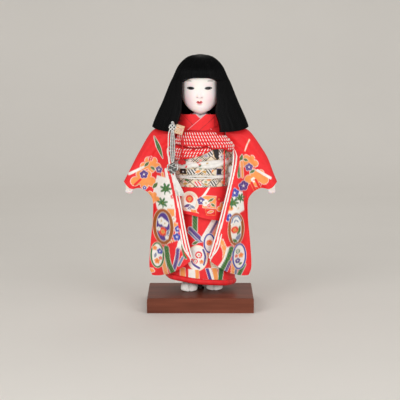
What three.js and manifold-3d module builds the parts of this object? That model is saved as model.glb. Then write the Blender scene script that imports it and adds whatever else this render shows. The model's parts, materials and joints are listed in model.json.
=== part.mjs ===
// Ichimatsu doll in a furisode kimono, standing on a lacquered plinth.
// Millimetres, +Z up, the doll faces -Y; the origin is the middle of the plinth's underside.
// Left and right are the doll's own: its left side is at +X.
import * as THREE from "three";
import { mergeVertices } from "three/addons/utils/BufferGeometryUtils.js";
import ManifoldModule from "manifold-3d";

const solids = await ManifoldModule();
solids.setup();

// Driving sizes: stand
const PLINTH_WIDTH = 186;
const PLINTH_DEPTH = 160;
const PLINTH_HEIGHT = 26;
const PLINTH_BEVEL = 2.5;
const DOLL_Y = 15;
const POST_BACK = 11;
const POST_RADIUS = 4;
const POST_DEPTH_IN_PLINTH = 16;
const POST_DEPTH_IN_HIPS = 30;
const FLANGE_RADIUS = 7;
const FLANGE_HEIGHT = 3;

// Driving sizes: body, heights stacked up from the soles
const TABI_HEIGHT = 36;
const TABI_LENGTH = 50;
const TABI_WIDTH = 31;
const STANCE = { left: 25, right: 20 };
const LEG_HEIGHT = 118;
const HIP_HEIGHT = 40;
const TORSO_HEIGHT = 138;
const NECK_RADIUS = 11.5;
const CHIN_ABOVE_TORSO = 23;
const HEAD_HEIGHT = 93;
const HEAD_WIDTH = 69;
const HAIR_OVER_HEAD = 8;
const PEG_RADIUS = 7;
const SHOULDER_DROP = 24;
const SHOULDER_PEG_RADIUS = 2.5;
const UPPER_ARM_RADIUS = 9;
const FOREARM_RADIUS = 6.5;

// Driving sizes: clothes
const CLOTH = 2.6;
const WAIST_HALF_WIDTH = 40;
const WAIST_HALF_DEPTH = 31;
const OBI_THICK = 6.8;
const OBI_HEIGHT = TORSO_HEIGHT / 2;
const OBI_ABOVE_HIPS = TORSO_HEIGHT * 0.2174;
const OBIAGE_RISE = 29;
const OBIAGE_BULGE = 8;
const CORD_WIDE_HALF_HEIGHT = 6.6;
const CORD_WIDE_RADIAL = 3;
const CORD_THIN_RADIUS = 2.4;
const FOLD_DROP = 52;
const SKIRT_FLARE = 18;
const HEM_HEIGHT = 27;
const HEM_TILT = 0.11;
const HEM_ROLL = 5;
const SLEEVE_DROP = 212;
const SLEEVE_THICK = 8;
const TRIM_RADIUS = 1.7;
const PURSE_WIDTH = 15.6;
const PURSE_HEIGHT = 16.6;
const PURSE_TILT = 17;
const PURSE_THICK = 5;
const TASSEL_KNOT_RADIUS = 6.5;
const TASSEL_DROP = 72;
const TASSEL_CORD_RADIUS = 4;
const FRINGE_LENGTH = 35;

// Clearances
const GAP = 0.4;
const WELD = 1e-4;

// Facets round the body, the same for every layer so that the layers nest
const RING = 24;

// Derived heights
const HIP_TOP = LEG_HEIGHT + HIP_HEIGHT;
const NECK_BASE = HIP_TOP + TORSO_HEIGHT;
const SHOULDER_Z = NECK_BASE - SHOULDER_DROP;
const CHIN_Z = NECK_BASE + CHIN_ABOVE_TORSO;
const HEAD_TOP = CHIN_Z + HEAD_HEIGHT;
const HAIR_TOP = HEAD_TOP + HAIR_OVER_HEAD;
const OBI_BOTTOM = HIP_TOP + OBI_ABOVE_HIPS;
const OBI_TOP = OBI_BOTTOM + OBI_HEIGHT;
const FOLD_BOTTOM = OBI_BOTTOM - FOLD_DROP;

const vec = (x, y, z) => new THREE.Vector3(x, y, z);
const mix = THREE.MathUtils.lerp;
const smooth = (x, low, high) => THREE.MathUtils.smoothstep(x, low, high);
const rad = THREE.MathUtils.degToRad;

// A smooth curve value = f(t) through the given [t, value, ...] rows.
function profile(rows) {
  const steep = (i, k) => (rows[i + 1][k] - rows[i][k]) / (rows[i + 1][0] - rows[i][0]);
  const slope = (i, k) => {
    const before = steep(Math.max(i - 1, 0), k);
    const after = steep(Math.min(i, rows.length - 2), k);
    const least = Math.min(Math.abs(before), Math.abs(after));
    return before * after <= 0 ? 0 : Math.sign(before) * Math.min(Math.abs(before + after) / 2, 3 * least);
  };
  return (t, k = 1) => {
    if (t <= rows[0][0]) return rows[0][k];
    if (t >= rows[rows.length - 1][0]) return rows[rows.length - 1][k];
    const i = rows.findIndex((row) => row[0] > t) - 1;
    const span = rows[i + 1][0] - rows[i][0];
    const s = (t - rows[i][0]) / span;
    const rise = rows[i + 1][k] - rows[i][k];
    const m0 = slope(i, k) * span - rise;
    const m1 = slope(i + 1, k) * span - rise;
    return rows[i][k] + rise * s + s * (1 - s) * (m0 * (1 - s) - m1 * s);
  };
}

// A closed solid from points and triangles: equal points are joined, empty triangles are
// dropped and the faces are turned outwards.
function closedGeometry(points, triangles) {
  const numbers = new Map();
  const places = [];
  const joined = points.map((p) => {
    const key = [p.x, p.y, p.z].map((c) => Math.round(c / WELD)).join();
    if (!numbers.has(key)) {
      numbers.set(key, places.length / 3);
      places.push(p.x, p.y, p.z);
    }
    return numbers.get(key);
  });
  const faces = triangles
    .map((t) => t.map((i) => joined[i]))
    .filter(([a, b, c]) => a !== b && b !== c && c !== a);
  const corner = (i) => vec(places[3 * i], places[3 * i + 1], places[3 * i + 2]);
  const volume = faces.reduce(
    (sum, [a, b, c]) => sum + corner(a).dot(corner(b).cross(corner(c))),
    0,
  );
  if (volume < 0) faces.forEach((face) => face.reverse());
  const geometry = new THREE.BufferGeometry();
  geometry.setAttribute("position", new THREE.Float32BufferAttribute(places, 3));
  geometry.setIndex(faces.flat());
  geometry.computeVertexNormals();
  return geometry;
}

// A solid between two surfaces over the same (u, v), walled along its free edges.
function shell({ nu, nv, ring = false, outer, inner }) {
  const columns = ring ? nu : nu + 1;
  const points = [];
  for (const side of [outer, inner]) {
    for (let i = 0; i < columns; i++) {
      for (let j = 0; j <= nv; j++) points.push(side(i / nu, j / nv));
    }
  }
  const at = (layer, i, j) => layer * columns * (nv + 1) + (i % columns) * (nv + 1) + j;
  const triangles = [];
  const quad = (a, b, c, d) => triangles.push([a, b, c], [a, c, d]);
  for (let i = 0; i < nu; i++) {
    for (let j = 0; j < nv; j++) {
      quad(at(0, i, j), at(0, i + 1, j), at(0, i + 1, j + 1), at(0, i, j + 1));
      quad(at(1, i, j), at(1, i, j + 1), at(1, i + 1, j + 1), at(1, i + 1, j));
    }
    quad(at(0, i, 0), at(1, i, 0), at(1, i + 1, 0), at(0, i + 1, 0));
    quad(at(0, i, nv), at(0, i + 1, nv), at(1, i + 1, nv), at(1, i, nv));
  }
  for (let j = 0; j < nv && !ring; j++) {
    quad(at(0, 0, j), at(0, 0, j + 1), at(1, 0, j + 1), at(1, 0, j));
    quad(at(0, nu, j), at(1, nu, j), at(1, nu, j + 1), at(0, nu, j + 1));
  }
  return closedGeometry(points, triangles);
}

// A solid through a stack of closed outlines, closed at both ends.
function loft(rings) {
  const n = rings[0].length;
  const middle = (ring) => ring.reduce((sum, p) => sum.add(p), vec(0, 0, 0)).divideScalar(n);
  const points = [...rings.flat(), middle(rings[0]), middle(rings[rings.length - 1])];
  const triangles = [];
  const last = (rings.length - 1) * n;
  for (let i = 0; i < n; i++) {
    const k = (i + 1) % n;
    for (let j = 0; j < last; j += n) {
      triangles.push([j + i, j + k, j + n + k], [j + i, j + n + k, j + n + i]);
    }
    triangles.push([last + n, k, i], [last + n + 1, last + i, last + k]);
  }
  return closedGeometry(points, triangles);
}

// A ring-shaped solid: at(u, w) gives the surface round the ring (u) and its section (w).
function torus(nu, nw, at) {
  const points = [];
  for (let i = 0; i < nu; i++) {
    for (let j = 0; j < nw; j++) points.push(at(i / nu, j / nw));
  }
  const triangles = [];
  for (let i = 0; i < nu; i++) {
    for (let j = 0; j < nw; j++) {
      const a = i * nw + j;
      const b = ((i + 1) % nu) * nw + j;
      const c = ((i + 1) % nu) * nw + ((j + 1) % nw);
      const d = i * nw + ((j + 1) % nw);
      triangles.push([a, b, c], [a, c, d]);
    }
  }
  return closedGeometry(points, triangles);
}

// A round tube along a smooth line through the points.
function tube(points, radius, steps, sides = 6) {
  const circle = new THREE.Shape();
  circle.absarc(0, 0, radius, 0, 2 * Math.PI);
  return new THREE.ExtrudeGeometry(circle, {
    extrudePath: new THREE.CatmullRomCurve3(points),
    steps,
    curveSegments: sides / 2,
    bevelEnabled: false,
  });
}

// A swelling limb: round sections of the given radii along a smooth line.
function limb(points, radii, steps, sides) {
  const line = new THREE.CatmullRomCurve3(points);
  const swell = profile(radii.map((r, i) => [i / (radii.length - 1), r]));
  const frames = line.computeFrenetFrames(steps);
  const rings = [];
  for (let i = 0; i <= steps; i++) {
    const ring = [];
    for (let k = 0; k < sides; k++) {
      const angle = (2 * Math.PI * k) / sides;
      const out = frames.normals[i]
        .clone()
        .multiplyScalar(Math.cos(angle))
        .addScaledVector(frames.binormals[i], Math.sin(angle));
      ring.push(line.getPointAt(i / steps).addScaledVector(out, swell(i / steps)));
    }
    rings.push(ring);
  }
  return loft(rings);
}

// A swelling upright column: level round sections of the given radii.
function column(points, radii, sides) {
  const rings = points.map((p, i) => {
    const ring = [];
    for (let k = 0; k < sides; k++) {
      const angle = (2 * Math.PI * k) / sides;
      ring.push(p.clone().add(vec(radii[i] * Math.cos(angle), radii[i] * Math.sin(angle), 0)));
    }
    return ring;
  });
  return loft(rings);
}

function cylinder(radius, from, to, sides = 16) {
  const line = to.clone().sub(from);
  const geometry = new THREE.CylinderGeometry(radius, radius, line.length(), sides);
  const turn = new THREE.Quaternion().setFromUnitVectors(vec(0, 1, 0), line.clone().normalize());
  geometry.applyQuaternion(turn);
  const middle = from.clone().add(to).divideScalar(2);
  return geometry.translate(middle.x, middle.y, middle.z);
}

function ellipsoid(centre, rx, ry, rz, columns = 16, rows = 10) {
  const geometry = new THREE.SphereGeometry(1, columns, rows);
  geometry.rotateX(Math.PI / 2);
  geometry.scale(rx, ry, rz);
  return geometry.translate(centre.x, centre.y, centre.z);
}

function toManifold(geometry) {
  const plain = geometry.clone();
  plain.deleteAttribute("normal");
  plain.deleteAttribute("uv");
  const joined = mergeVertices(plain, WELD);
  return new solids.Manifold(
    new solids.Mesh({
      numProp: 3,
      vertProperties: new Float32Array(joined.attributes.position.array),
      triVerts: new Uint32Array(joined.index.array),
    }),
  );
}

function fromManifold(solid) {
  const mesh = solid.getMesh();
  const geometry = new THREE.BufferGeometry();
  const places = new THREE.Float32BufferAttribute(mesh.vertProperties, 3);
  geometry.setAttribute("position", places);
  geometry.setIndex([...mesh.triVerts]);
  geometry.computeVertexNormals();
  return geometry;
}

function cut(geometry, ...tools) {
  const rest = tools.reduce((solid, tool) => solid.subtract(toManifold(tool)), toManifold(geometry));
  return fromManifold(rest);
}

function join(...geometries) {
  return fromManifold(geometries.map(toManifold).reduce((a, b) => a.add(b)));
}

// A point on an upright ellipse; angle 0 is the front (-Y), 90 degrees the doll's left (+X).
function onEllipse(angle, a, front, back, z) {
  const depth = Math.cos(angle) > 0 ? front : back;
  return vec(a * Math.sin(angle), -depth * Math.cos(angle), z);
}

const round = (u) => 2 * Math.PI * u;

// Angle away from the front, 0 to pi.
const turned = (angle) => Math.acos(Math.cos(angle));

// Materials
function material(colour, roughness, metalness = 0) {
  return new THREE.MeshStandardMaterial({ color: colour, roughness, metalness });
}
const lacquer = material(0x4a2a20, 0.35);
const steel = material(0x8d9094, 0.35, 0.9);
const composition = material(0xd9c7a8, 0.8);
const stuffing = material(0xe6ded0, 0.9);
const gofun = material(0xf6ede4, 0.45);
const glassEye = material(0x17110f, 0.08);
const hairBlack = material(0x14110f, 0.5);
const redCrepe = material(0xd8242c, 0.75);
const whiteSilk = material(0xf3eee6, 0.7);
const brocade = material(0xc9a560, 0.55);
const shibori = material(0xd9434a, 0.8);
const goldBrocade = material(0xd0a152, 0.5);
const silverCord = material(0xc3c2bd, 0.45);
const woodPeg = material(0xc09a6a, 0.7);

const part = new THREE.Group();
part.name = "ichimatsu_doll";
const doll = new THREE.Group();
doll.name = "doll";
doll.position.set(0, DOLL_Y, PLINTH_HEIGHT);
part.add(doll);

function add(group, name, geometry, surface) {
  const mesh = new THREE.Mesh(geometry, surface);
  mesh.name = name;
  group.add(mesh);
}

// Stand
const postAt = (z) => vec(0, DOLL_Y + POST_BACK, z);
const rectangle = (inset, z) => {
  const x = PLINTH_WIDTH / 2 - inset;
  const y = PLINTH_DEPTH / 2 - inset;
  return [vec(-x, -y, z), vec(x, -y, z), vec(x, y, z), vec(-x, y, z)];
};
const plinthBlock = loft([
  rectangle(0, 0),
  rectangle(0, PLINTH_HEIGHT - PLINTH_BEVEL),
  rectangle(PLINTH_BEVEL * 0.3, PLINTH_HEIGHT - PLINTH_BEVEL * 0.3),
  rectangle(PLINTH_BEVEL, PLINTH_HEIGHT),
]);
const postFoot = PLINTH_HEIGHT - POST_DEPTH_IN_PLINTH;
const postHole = cylinder(POST_RADIUS + GAP, postAt(postFoot - GAP), postAt(PLINTH_HEIGHT + 1));
add(part, "plinth", cut(plinthBlock, postHole), lacquer);
const flangeRing = [
  [POST_RADIUS + GAP, 0],
  [FLANGE_RADIUS, 0],
  [FLANGE_RADIUS, FLANGE_HEIGHT * 0.4],
  [POST_RADIUS + 2.5, FLANGE_HEIGHT],
  [POST_RADIUS + GAP, FLANGE_HEIGHT],
  [POST_RADIUS + GAP, 0],
].map(([r, h]) => new THREE.Vector2(r, h));
const flange = new THREE.LatheGeometry(flangeRing, 16);
flange.rotateX(Math.PI / 2);
flange.translate(0, DOLL_Y + POST_BACK, PLINTH_HEIGHT + 0.2);
add(part, "post_flange", closedCopy(flange), steel);
const postTop = PLINTH_HEIGHT + LEG_HEIGHT + POST_DEPTH_IN_HIPS;
add(part, "support_post", cylinder(POST_RADIUS, postAt(postFoot), postAt(postTop)), steel);

// The same solid with its doubled seam points joined.
function closedCopy(geometry) {
  const places = geometry.attributes.position;
  const points = [];
  for (let i = 0; i < places.count; i++) points.push(new THREE.Vector3().fromBufferAttribute(places, i));
  const list = geometry.index ? [...geometry.index.array] : points.map((_, i) => i);
  const triangles = [];
  for (let i = 0; i < list.length; i += 3) triangles.push(list.slice(i, i + 3));
  return closedGeometry(points, triangles);
}

// Legs and feet
const KNEE_Z = mix(TABI_HEIGHT, LEG_HEIGHT, 0.5);
const ANKLE_RADIUS = 8.5;
const THIGH_RADIUS = 14.5;
const TOE_FORWARD = { right: 0, left: -12 };
for (const [name, side] of [["left", 1], ["right", -1]]) {
  const x = side * STANCE[name];
  const heelY = 20 - TOE_FORWARD[name];
  const soleRing = (grow, z, lean) => {
    const ring = [];
    for (let i = 0; i < 14; i++) {
      const angle = round(i / 14);
      const front = Math.max(0, Math.cos(angle));
      const wide = (TABI_WIDTH / 2) * grow * (0.86 + 0.14 * front);
      const long = (TABI_LENGTH / 2) * mix(1, grow, 0.5) * lean;
      const y = heelY - TABI_LENGTH / 2 + (1 - lean) * (TABI_LENGTH / 2);
      ring.push(vec(x + wide * Math.sin(angle), y - long * Math.cos(angle), z));
    }
    return ring;
  };
  const foot = loft([
    soleRing(0.86, 0.2, 0.97),
    soleRing(1, 4, 1),
    soleRing(0.98, 9, 0.97),
    soleRing(0.86, 14, 0.86),
    soleRing(0.76, 20, 0.62),
    soleRing(0.74, 28, 0.5),
    soleRing(0.78, TABI_HEIGHT, 0.5),
  ]);
  const ankle = vec(x, heelY - TABI_LENGTH * 0.25, 0);
  const up = (z) => ankle.clone().setZ(z);
  const ankleHole = cylinder(ANKLE_RADIUS + GAP, up(TABI_HEIGHT - 14), up(TABI_HEIGHT + 1), 12);
  add(doll, `${name}_tabi`, cut(foot, ankleHole), whiteSilk);
  const hipX = side * Math.max(STANCE[name] * 0.72, POST_RADIUS + THIGH_RADIUS + GAP);
  const knee = vec(mix(x, hipX, 0.5), mix(ankle.y, 0, 0.5), KNEE_Z);
  const shin = [up(TABI_HEIGHT - 14 + GAP), up(TABI_HEIGHT + 2), mixPoint(up(TABI_HEIGHT), knee, 0.6), knee];
  add(doll, `${name}_lower_leg`, column(shin, [ANKLE_RADIUS, ANKLE_RADIUS, 13, 11.5], 12), gofun);
  const hip = vec(hipX, 0, LEG_HEIGHT - GAP);
  const thigh = [knee.clone().setZ(KNEE_Z + GAP), mixPoint(knee, hip, 0.5), hip];
  add(doll, `${name}_thigh`, column(thigh, [THIGH_RADIUS - 2.5, THIGH_RADIUS, THIGH_RADIUS - 1], 12), stuffing);
}

function mixPoint(a, b, t) {
  return a.clone().lerp(b, t);
}

// Torso: half widths and half depths of the body at each height
const SHOULDER_HALF_WIDTH = WAIST_HALF_WIDTH;
const body = profile([
  [HIP_TOP, WAIST_HALF_WIDTH - 4, WAIST_HALF_DEPTH - 4],
  [OBI_BOTTOM, WAIST_HALF_WIDTH, WAIST_HALF_DEPTH],
  [OBI_TOP - 12, WAIST_HALF_WIDTH, WAIST_HALF_DEPTH],
  [SHOULDER_Z, SHOULDER_HALF_WIDTH, WAIST_HALF_DEPTH - 3],
  [NECK_BASE - 12, SHOULDER_HALF_WIDTH - 0.6, WAIST_HALF_DEPTH - 6],
  [NECK_BASE - 6, SHOULDER_HALF_WIDTH - 2.8, WAIST_HALF_DEPTH - 7],
  [NECK_BASE, SHOULDER_HALF_WIDTH - 7, WAIST_HALF_DEPTH - 8.5],
]);
const bodyRing = (z, grow = 0) => {
  const ring = [];
  for (let i = 0; i < RING; i++) {
    const angle = round(i / RING);
    ring.push(onEllipse(angle, body(z) + grow, body(z, 2) + grow, body(z, 2) + grow, z));
  }
  return ring;
};
const BODICE_FOOT = OBI_BOTTOM - 6;
const BODICE_TOP = NECK_BASE + 6;
const clothLevels = [
  BODICE_FOOT,
  OBI_BOTTOM,
  mix(OBI_BOTTOM, OBI_TOP, 0.5),
  OBI_TOP,
  SHOULDER_Z,
  NECK_BASE - 12,
  NECK_BASE - 6,
  NECK_BASE,
];
const bodyLevels = [HIP_TOP + GAP, ...clothLevels];
const SOCKET_DEPTH = 26;
const SHOULDER_PEG_LENGTH = 28;
const ARMHOLE_X = SHOULDER_HALF_WIDTH + CLOTH + 2 * GAP + 1.4;
const pegIn = ARMHOLE_X - SHOULDER_PEG_LENGTH / 2;
const pegOut = ARMHOLE_X + SHOULDER_PEG_LENGTH / 2;
const ARM_Y = 1;
const pegLine = (x) => vec(x, ARM_Y, SHOULDER_Z);
const neckSocket = cylinder(
  PEG_RADIUS + GAP,
  vec(0, 0, NECK_BASE - SOCKET_DEPTH),
  vec(0, 0, NECK_BASE + 1),
);
const shoulderBore = (side) =>
  cylinder(
    SHOULDER_PEG_RADIUS + GAP,
    pegLine(side * (pegIn - GAP)),
    pegLine(side * (pegOut + 1)),
    10,
  );
const torsoBlock = loft(bodyLevels.map((z) => bodyRing(z)));
add(
  doll,
  "torso",
  cut(torsoBlock, neckSocket, shoulderBore(1), shoulderBore(-1)),
  composition,
);
const hipRing = (z, grow) => {
  const ring = [];
  const [a, b] = [body(HIP_TOP) * grow, body(HIP_TOP, 2) * grow];
  for (let i = 0; i < RING; i++) ring.push(onEllipse(round(i / RING), a, b, b, z));
  return ring;
};
const hipBlock = loft([
  hipRing(LEG_HEIGHT, 0.88),
  hipRing(mix(LEG_HEIGHT, HIP_TOP, 0.4), 1.02),
  hipRing(HIP_TOP, 1),
]);
const hipHole = cylinder(
  POST_RADIUS + GAP,
  vec(0, POST_BACK, LEG_HEIGHT - 1),
  vec(0, POST_BACK, LEG_HEIGHT + POST_DEPTH_IN_HIPS + GAP),
);
add(doll, "hip_block", cut(hipBlock, hipHole), composition);

// Kimono bodice: a cloth layer over the torso
const bodiceLevels = [...clothLevels, BODICE_TOP];
const overBody = (z, off) => {
  const above = bodiceLevels.findIndex((level) => level >= Math.min(z, BODICE_TOP) - WELD);
  const [low, high] = [bodiceLevels[Math.max(above - 1, 0)], bodiceLevels[above]];
  const t = high > low ? THREE.MathUtils.clamp((z - low) / (high - low), 0, 1) : 0;
  const collarRoom = (level) => mix(0, NECK_RADIUS + 6, smooth(level, NECK_BASE - 14, NECK_BASE));
  const at = (k) =>
    mix(Math.max(body(low, k), collarRoom(low)), Math.max(body(high, k), collarRoom(high)), t);
  return [at(1) + off, at(2) + off];
};
const bodiceSide = (off) => (u, v) => {
  const z = bodiceLevels[Math.round(v * (bodiceLevels.length - 1))];
  const [a, b] = overBody(z, off);
  return onEllipse(round(u), a, b, b, z);
};
const BODICE_OUT = GAP + CLOTH;
add(
  doll,
  "kimono_bodice",
  cut(
    shell({
      nu: RING,
      nv: bodiceLevels.length - 1,
      ring: true,
      outer: bodiceSide(BODICE_OUT),
      inner: bodiceSide(GAP),
    }),
    shoulderBore(1),
    shoulderBore(-1),
  ),
  redCrepe,
);
for (const [name, side] of [["left", 1], ["right", -1]]) {
  const peg = cylinder(SHOULDER_PEG_RADIUS, pegLine(side * pegIn), pegLine(side * pegOut), 10);
  add(doll, `${name}_shoulder_peg`, peg, woodPeg);
}

// Obi and what is tied over it
const OBI_IN = BODICE_OUT + GAP;
const OBI_OUT = OBI_IN + OBI_THICK;
const obiSide = (off) => (u, v) => {
  const swell = off === OBI_IN ? 0 : -1.2 * (2 * v - 1) ** 4;
  const a = WAIST_HALF_WIDTH + off + swell;
  const b = WAIST_HALF_DEPTH + off + swell;
  return onEllipse(round(u), a, b, b, mix(OBI_BOTTOM, OBI_TOP, v));
};
add(
  doll,
  "obi",
  shell({ nu: RING, nv: 3, ring: true, outer: obiSide(OBI_OUT), inner: obiSide(OBI_IN) }),
  brocade,
);
const OBI_A = WAIST_HALF_WIDTH + OBI_OUT;
const OBI_B = WAIST_HALF_DEPTH + OBI_OUT;

// Obiage: a puffed scarf over the top of the obi, deep at the doll's right, narrow at its left
const scarfTop = (angle) => {
  const away = turned(angle);
  return OBI_TOP + mix(OBIAGE_RISE, -1, smooth(away, 0.42, 1.22));
};
const scarfFoot = (angle) => {
  const front = Math.max(0, Math.cos(angle));
  const toRight = smooth(-Math.sin(angle), -0.2, 0.75);
  return OBI_TOP - 8 - 20 * toRight * front - 4 * front * Math.max(0, Math.sin(angle));
};
const scarfOut = (angle) => mix(OBIAGE_BULGE, 2.6, smooth(turned(angle), 0.7, 1.5));
const scarfSide = (isOuter) => (u, v) => {
  const angle = round(u);
  const z = mix(scarfFoot(angle), scarfTop(angle), v);
  const sunk = smooth(z, OBI_TOP + 4, OBI_TOP + 14);
  const roll = Math.abs(Math.sin(Math.PI * (0.12 + 1.76 * v))) ** 0.6;
  const puff = isOuter ? 1.4 + scarfOut(angle) * roll * Math.sin(Math.PI * (0.08 + 0.84 * v)) ** 0.4 : 0;
  const inside = mix(OBI_OUT + GAP, BODICE_OUT + GAP + 2.4, sunk);
  const off = inside + puff;
  const [a, b] = [mix(WAIST_HALF_WIDTH, body(z), sunk) + off, mix(WAIST_HALF_DEPTH, body(z, 2), sunk) + off];
  return onEllipse(angle, a, b, b, z);
};
add(
  doll,
  "obiage",
  shell({ nu: RING, nv: 7, ring: true, outer: scarfSide(true), inner: scarfSide(false) }),
  shibori,
);

// Cords round the obi
const CORD_WIDE_Z = mix(OBI_BOTTOM, OBI_TOP, 0.57);
const CORD_THIN_Z = mix(OBI_BOTTOM, OBI_TOP, 0.26);
const cordRadial = (angle) => CORD_WIDE_RADIAL * mix(1, 0.5, smooth(turned(angle), 0.6, 1.4));
const wideCordZ = (angle) => CORD_WIDE_Z + 5.5 * Math.max(0, Math.sin(angle)) ** 2;
const scarfClear = (angle, z, half) => Math.min(z, scarfFoot(angle) - half - 2 * GAP);
const wideCord = torus(RING, 6, (u, w) => {
  const angle = round(u);
  const thick = cordRadial(angle);
  const tall = CORD_WIDE_HALF_HEIGHT * mix(1, 0.6, smooth(turned(angle), 0.8, 1.6));
  const off = OBI_OUT + GAP + thick * (1 + Math.cos(round(w)));
  const z = scarfClear(angle, wideCordZ(angle), CORD_WIDE_HALF_HEIGHT) + tall * Math.sin(round(w));
  return onEllipse(angle, WAIST_HALF_WIDTH + off, WAIST_HALF_DEPTH + off, WAIST_HALF_DEPTH + off, z);
});
add(doll, "obijime_wide", wideCord, whiteSilk);
const thinCord = torus(RING, 6, (u, w) => {
  const angle = round(u);
  const thick = CORD_THIN_RADIUS * mix(1, 0.6, smooth(turned(angle), 0.6, 1.4));
  const off = OBI_OUT + thick * (1 + Math.cos(round(w)));
  const z = CORD_THIN_Z + CORD_THIN_RADIUS * Math.sin(round(w));
  return onEllipse(angle, WAIST_HALF_WIDTH + off, WAIST_HALF_DEPTH + off, WAIST_HALF_DEPTH + off, z);
});
add(doll, "obijime_thin", thinCord, whiteSilk);

// Bow at the back: a drum-shaped knot between two folded wings
const BOW_Y = OBI_B + CORD_WIDE_RADIAL + 2 * GAP;
const BOW_Z = mix(OBI_BOTTOM, OBI_TOP, 0.52);
const pillow = (centre, half, depth, lean, waves) =>
  shell({
    nu: 8,
    nv: 5,
    outer: (u, v) => pillowPoint(centre, half, depth, lean, waves, u, v, 1),
    inner: (u, v) => pillowPoint(centre, half, depth, lean, waves, u, v, -1),
  });
function pillowPoint(centre, half, depth, lean, waves, u, v, face) {
  const x = 2 * u - 1;
  const z = 2 * v - 1;
  const swell = (1 - x ** 4) ** 0.5 * (1 - z ** 4) ** 0.5;
  const pleat = waves ? 0.14 * depth * Math.cos(waves * Math.PI * z) * swell : 0;
  const y = face * depth * (0.12 + 0.88 * swell) + pleat;
  return vec(x * half.x, y, z * half.z * (1 - 0.1 * x * x) + lean * x).add(centre);
}
const KNOT_HALF = vec(16, 0, 27);
const KNOT_DEPTH = 11;
const WING_HALF = vec(21, 0, 24);
const WING_DEPTH = 8;
const WING_LEAN = 7;
const knotAt = vec(0, BOW_Y + KNOT_DEPTH, BOW_Z);
add(doll, "bow_knot", pillow(knotAt, KNOT_HALF, KNOT_DEPTH, 0, 0), brocade);
for (const [name, side] of [["left", 1], ["right", -1]]) {
  const wingX = side * (KNOT_HALF.x + WING_HALF.x + GAP);
  const wingAt = vec(wingX, BOW_Y + KNOT_DEPTH, BOW_Z + 8);
  add(doll, `${name}_bow_wing`, pillow(wingAt, WING_HALF, WING_DEPTH, side * WING_LEAN, 3), brocade);
}

// Waist fold and skirt: layers that hang below the obi
const FOLD_OUT = BODICE_OUT + GAP + CLOTH + 4;
const foldSide = (isOuter) => (u, v) => {
  const angle = round(u);
  const z = mix(FOLD_BOTTOM - 0.05 * 40 * Math.sin(angle), OBI_BOTTOM - GAP, v);
  const droop = isOuter ? 3.5 * Math.sin(Math.PI * Math.min(1, 1.15 * (1 - v))) + 1.5 : 0;
  const off = (isOuter ? FOLD_OUT - 2 : BODICE_OUT + GAP) + droop + 6 * (1 - v);
  return onEllipse(angle, WAIST_HALF_WIDTH + off, WAIST_HALF_DEPTH + off, WAIST_HALF_DEPTH + off, z);
};
add(
  doll,
  "waist_fold",
  shell({ nu: RING, nv: 4, ring: true, outer: foldSide(true), inner: foldSide(false) }),
  redCrepe,
);
const SKIRT_TOP = BODICE_FOOT - GAP;
const hemZ = (x) => HEM_HEIGHT - HEM_TILT * x;
const skirtOff = (z) => mix(-0.6, SKIRT_FLARE, smooth(SKIRT_TOP - z, 0, SKIRT_TOP - HEM_HEIGHT));
const skirtFold = (angle, v) => 1.1 * v * Math.cos(7 * angle + 0.6) + 0.7 * v * Math.cos(3 * angle);
const skirtSide = (off) => (u, v) => {
  const angle = round(u);
  const low = hemZ((WAIST_HALF_WIDTH + SKIRT_FLARE) * Math.sin(angle));
  const z = mix(SKIRT_TOP, low, v);
  const grow = skirtOff(z) + off + skirtFold(angle, v);
  const b = WAIST_HALF_DEPTH + grow * 0.85;
  return onEllipse(angle, WAIST_HALF_WIDTH + grow, b, b, z);
};
const SKIRT_OUT = 3.2;
add(
  doll,
  "kimono_skirt",
  shell({ nu: 36, nv: 5, ring: true, outer: skirtSide(SKIRT_OUT), inner: skirtSide(0.4) }),
  redCrepe,
);
const hemRoll = torus(36, 6, (u, w) => {
  const rim = skirtSide(SKIRT_OUT / 2)(u, 1);
  const out = vec(rim.x, rim.y, 0).normalize();
  rim.addScaledVector(out, HEM_ROLL * 0.75 * Math.sin(round(w)));
  rim.z += HEM_ROLL * Math.cos(round(w)) - HEM_ROLL - GAP;
  return rim;
});
add(doll, "hem_roll", hemRoll, redCrepe);

// Collars: bands that lie on the chest and stand round the neck
const chestY = (x, z, off) => {
  const [a, b] = overBody(Math.min(z, BODICE_TOP), BODICE_OUT + off);
  return -b * Math.sqrt(Math.max(0, 1 - (x / a) ** 2));
};
const COLLAR_FOOT = OBI_TOP + OBIAGE_RISE + 1.5;
const V_FOOT = CHIN_Z - 10;
const collar = (side, off) => {
  const edge = (t, w, lift) => {
    const top = V_FOOT + 8;
    const z = mix(COLLAR_FOOT, top, t) - (w - 0.5) * 2;
    const along = (z - V_FOOT) * side;
    const x = along + side * mix(0.5, mix(33, 26, t), w);
    return vec(x, chestY(x, z, off + lift), z);
  };
  return shell({
    nu: 8,
    nv: 5,
    outer: (u, v) => edge(u, v, 1.8),
    inner: (u, v) => edge(u, v, 0),
  });
};
add(doll, "right_collar", collar(-1, GAP + 0.3), redCrepe);
add(doll, "left_collar", collar(1, GAP + 3), redCrepe);
const neckBand = (low, high, lift) => (u, v) => {
  const angle = rad(mix(75, 285, u));
  const r = mix(low, high, v) + lift;
  return onEllipse(angle, r, r, r * 1.1, mix(BODICE_TOP + GAP, BODICE_TOP + 13, v));
};
add(
  doll,
  "neckband",
  shell({
    nu: 12,
    nv: 2,
    outer: neckBand(NECK_RADIUS + 6, NECK_RADIUS + 4, 3),
    inner: neckBand(NECK_RADIUS + 6, NECK_RADIUS + 4, 1),
  }),
  redCrepe,
);
const underCollar = (lift) => (u, v) => {
  const angle = round(u);
  const r = NECK_RADIUS + GAP + lift;
  const slant = V_FOOT + 1.6 + 0.9 * Math.abs(r * Math.sin(angle));
  const top = Math.cos(angle) > 0 ? Math.min(V_FOOT + 6, slant) : V_FOOT + 6;
  return onEllipse(angle, r, r, r, mix(NECK_BASE + GAP, top, v));
};
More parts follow.
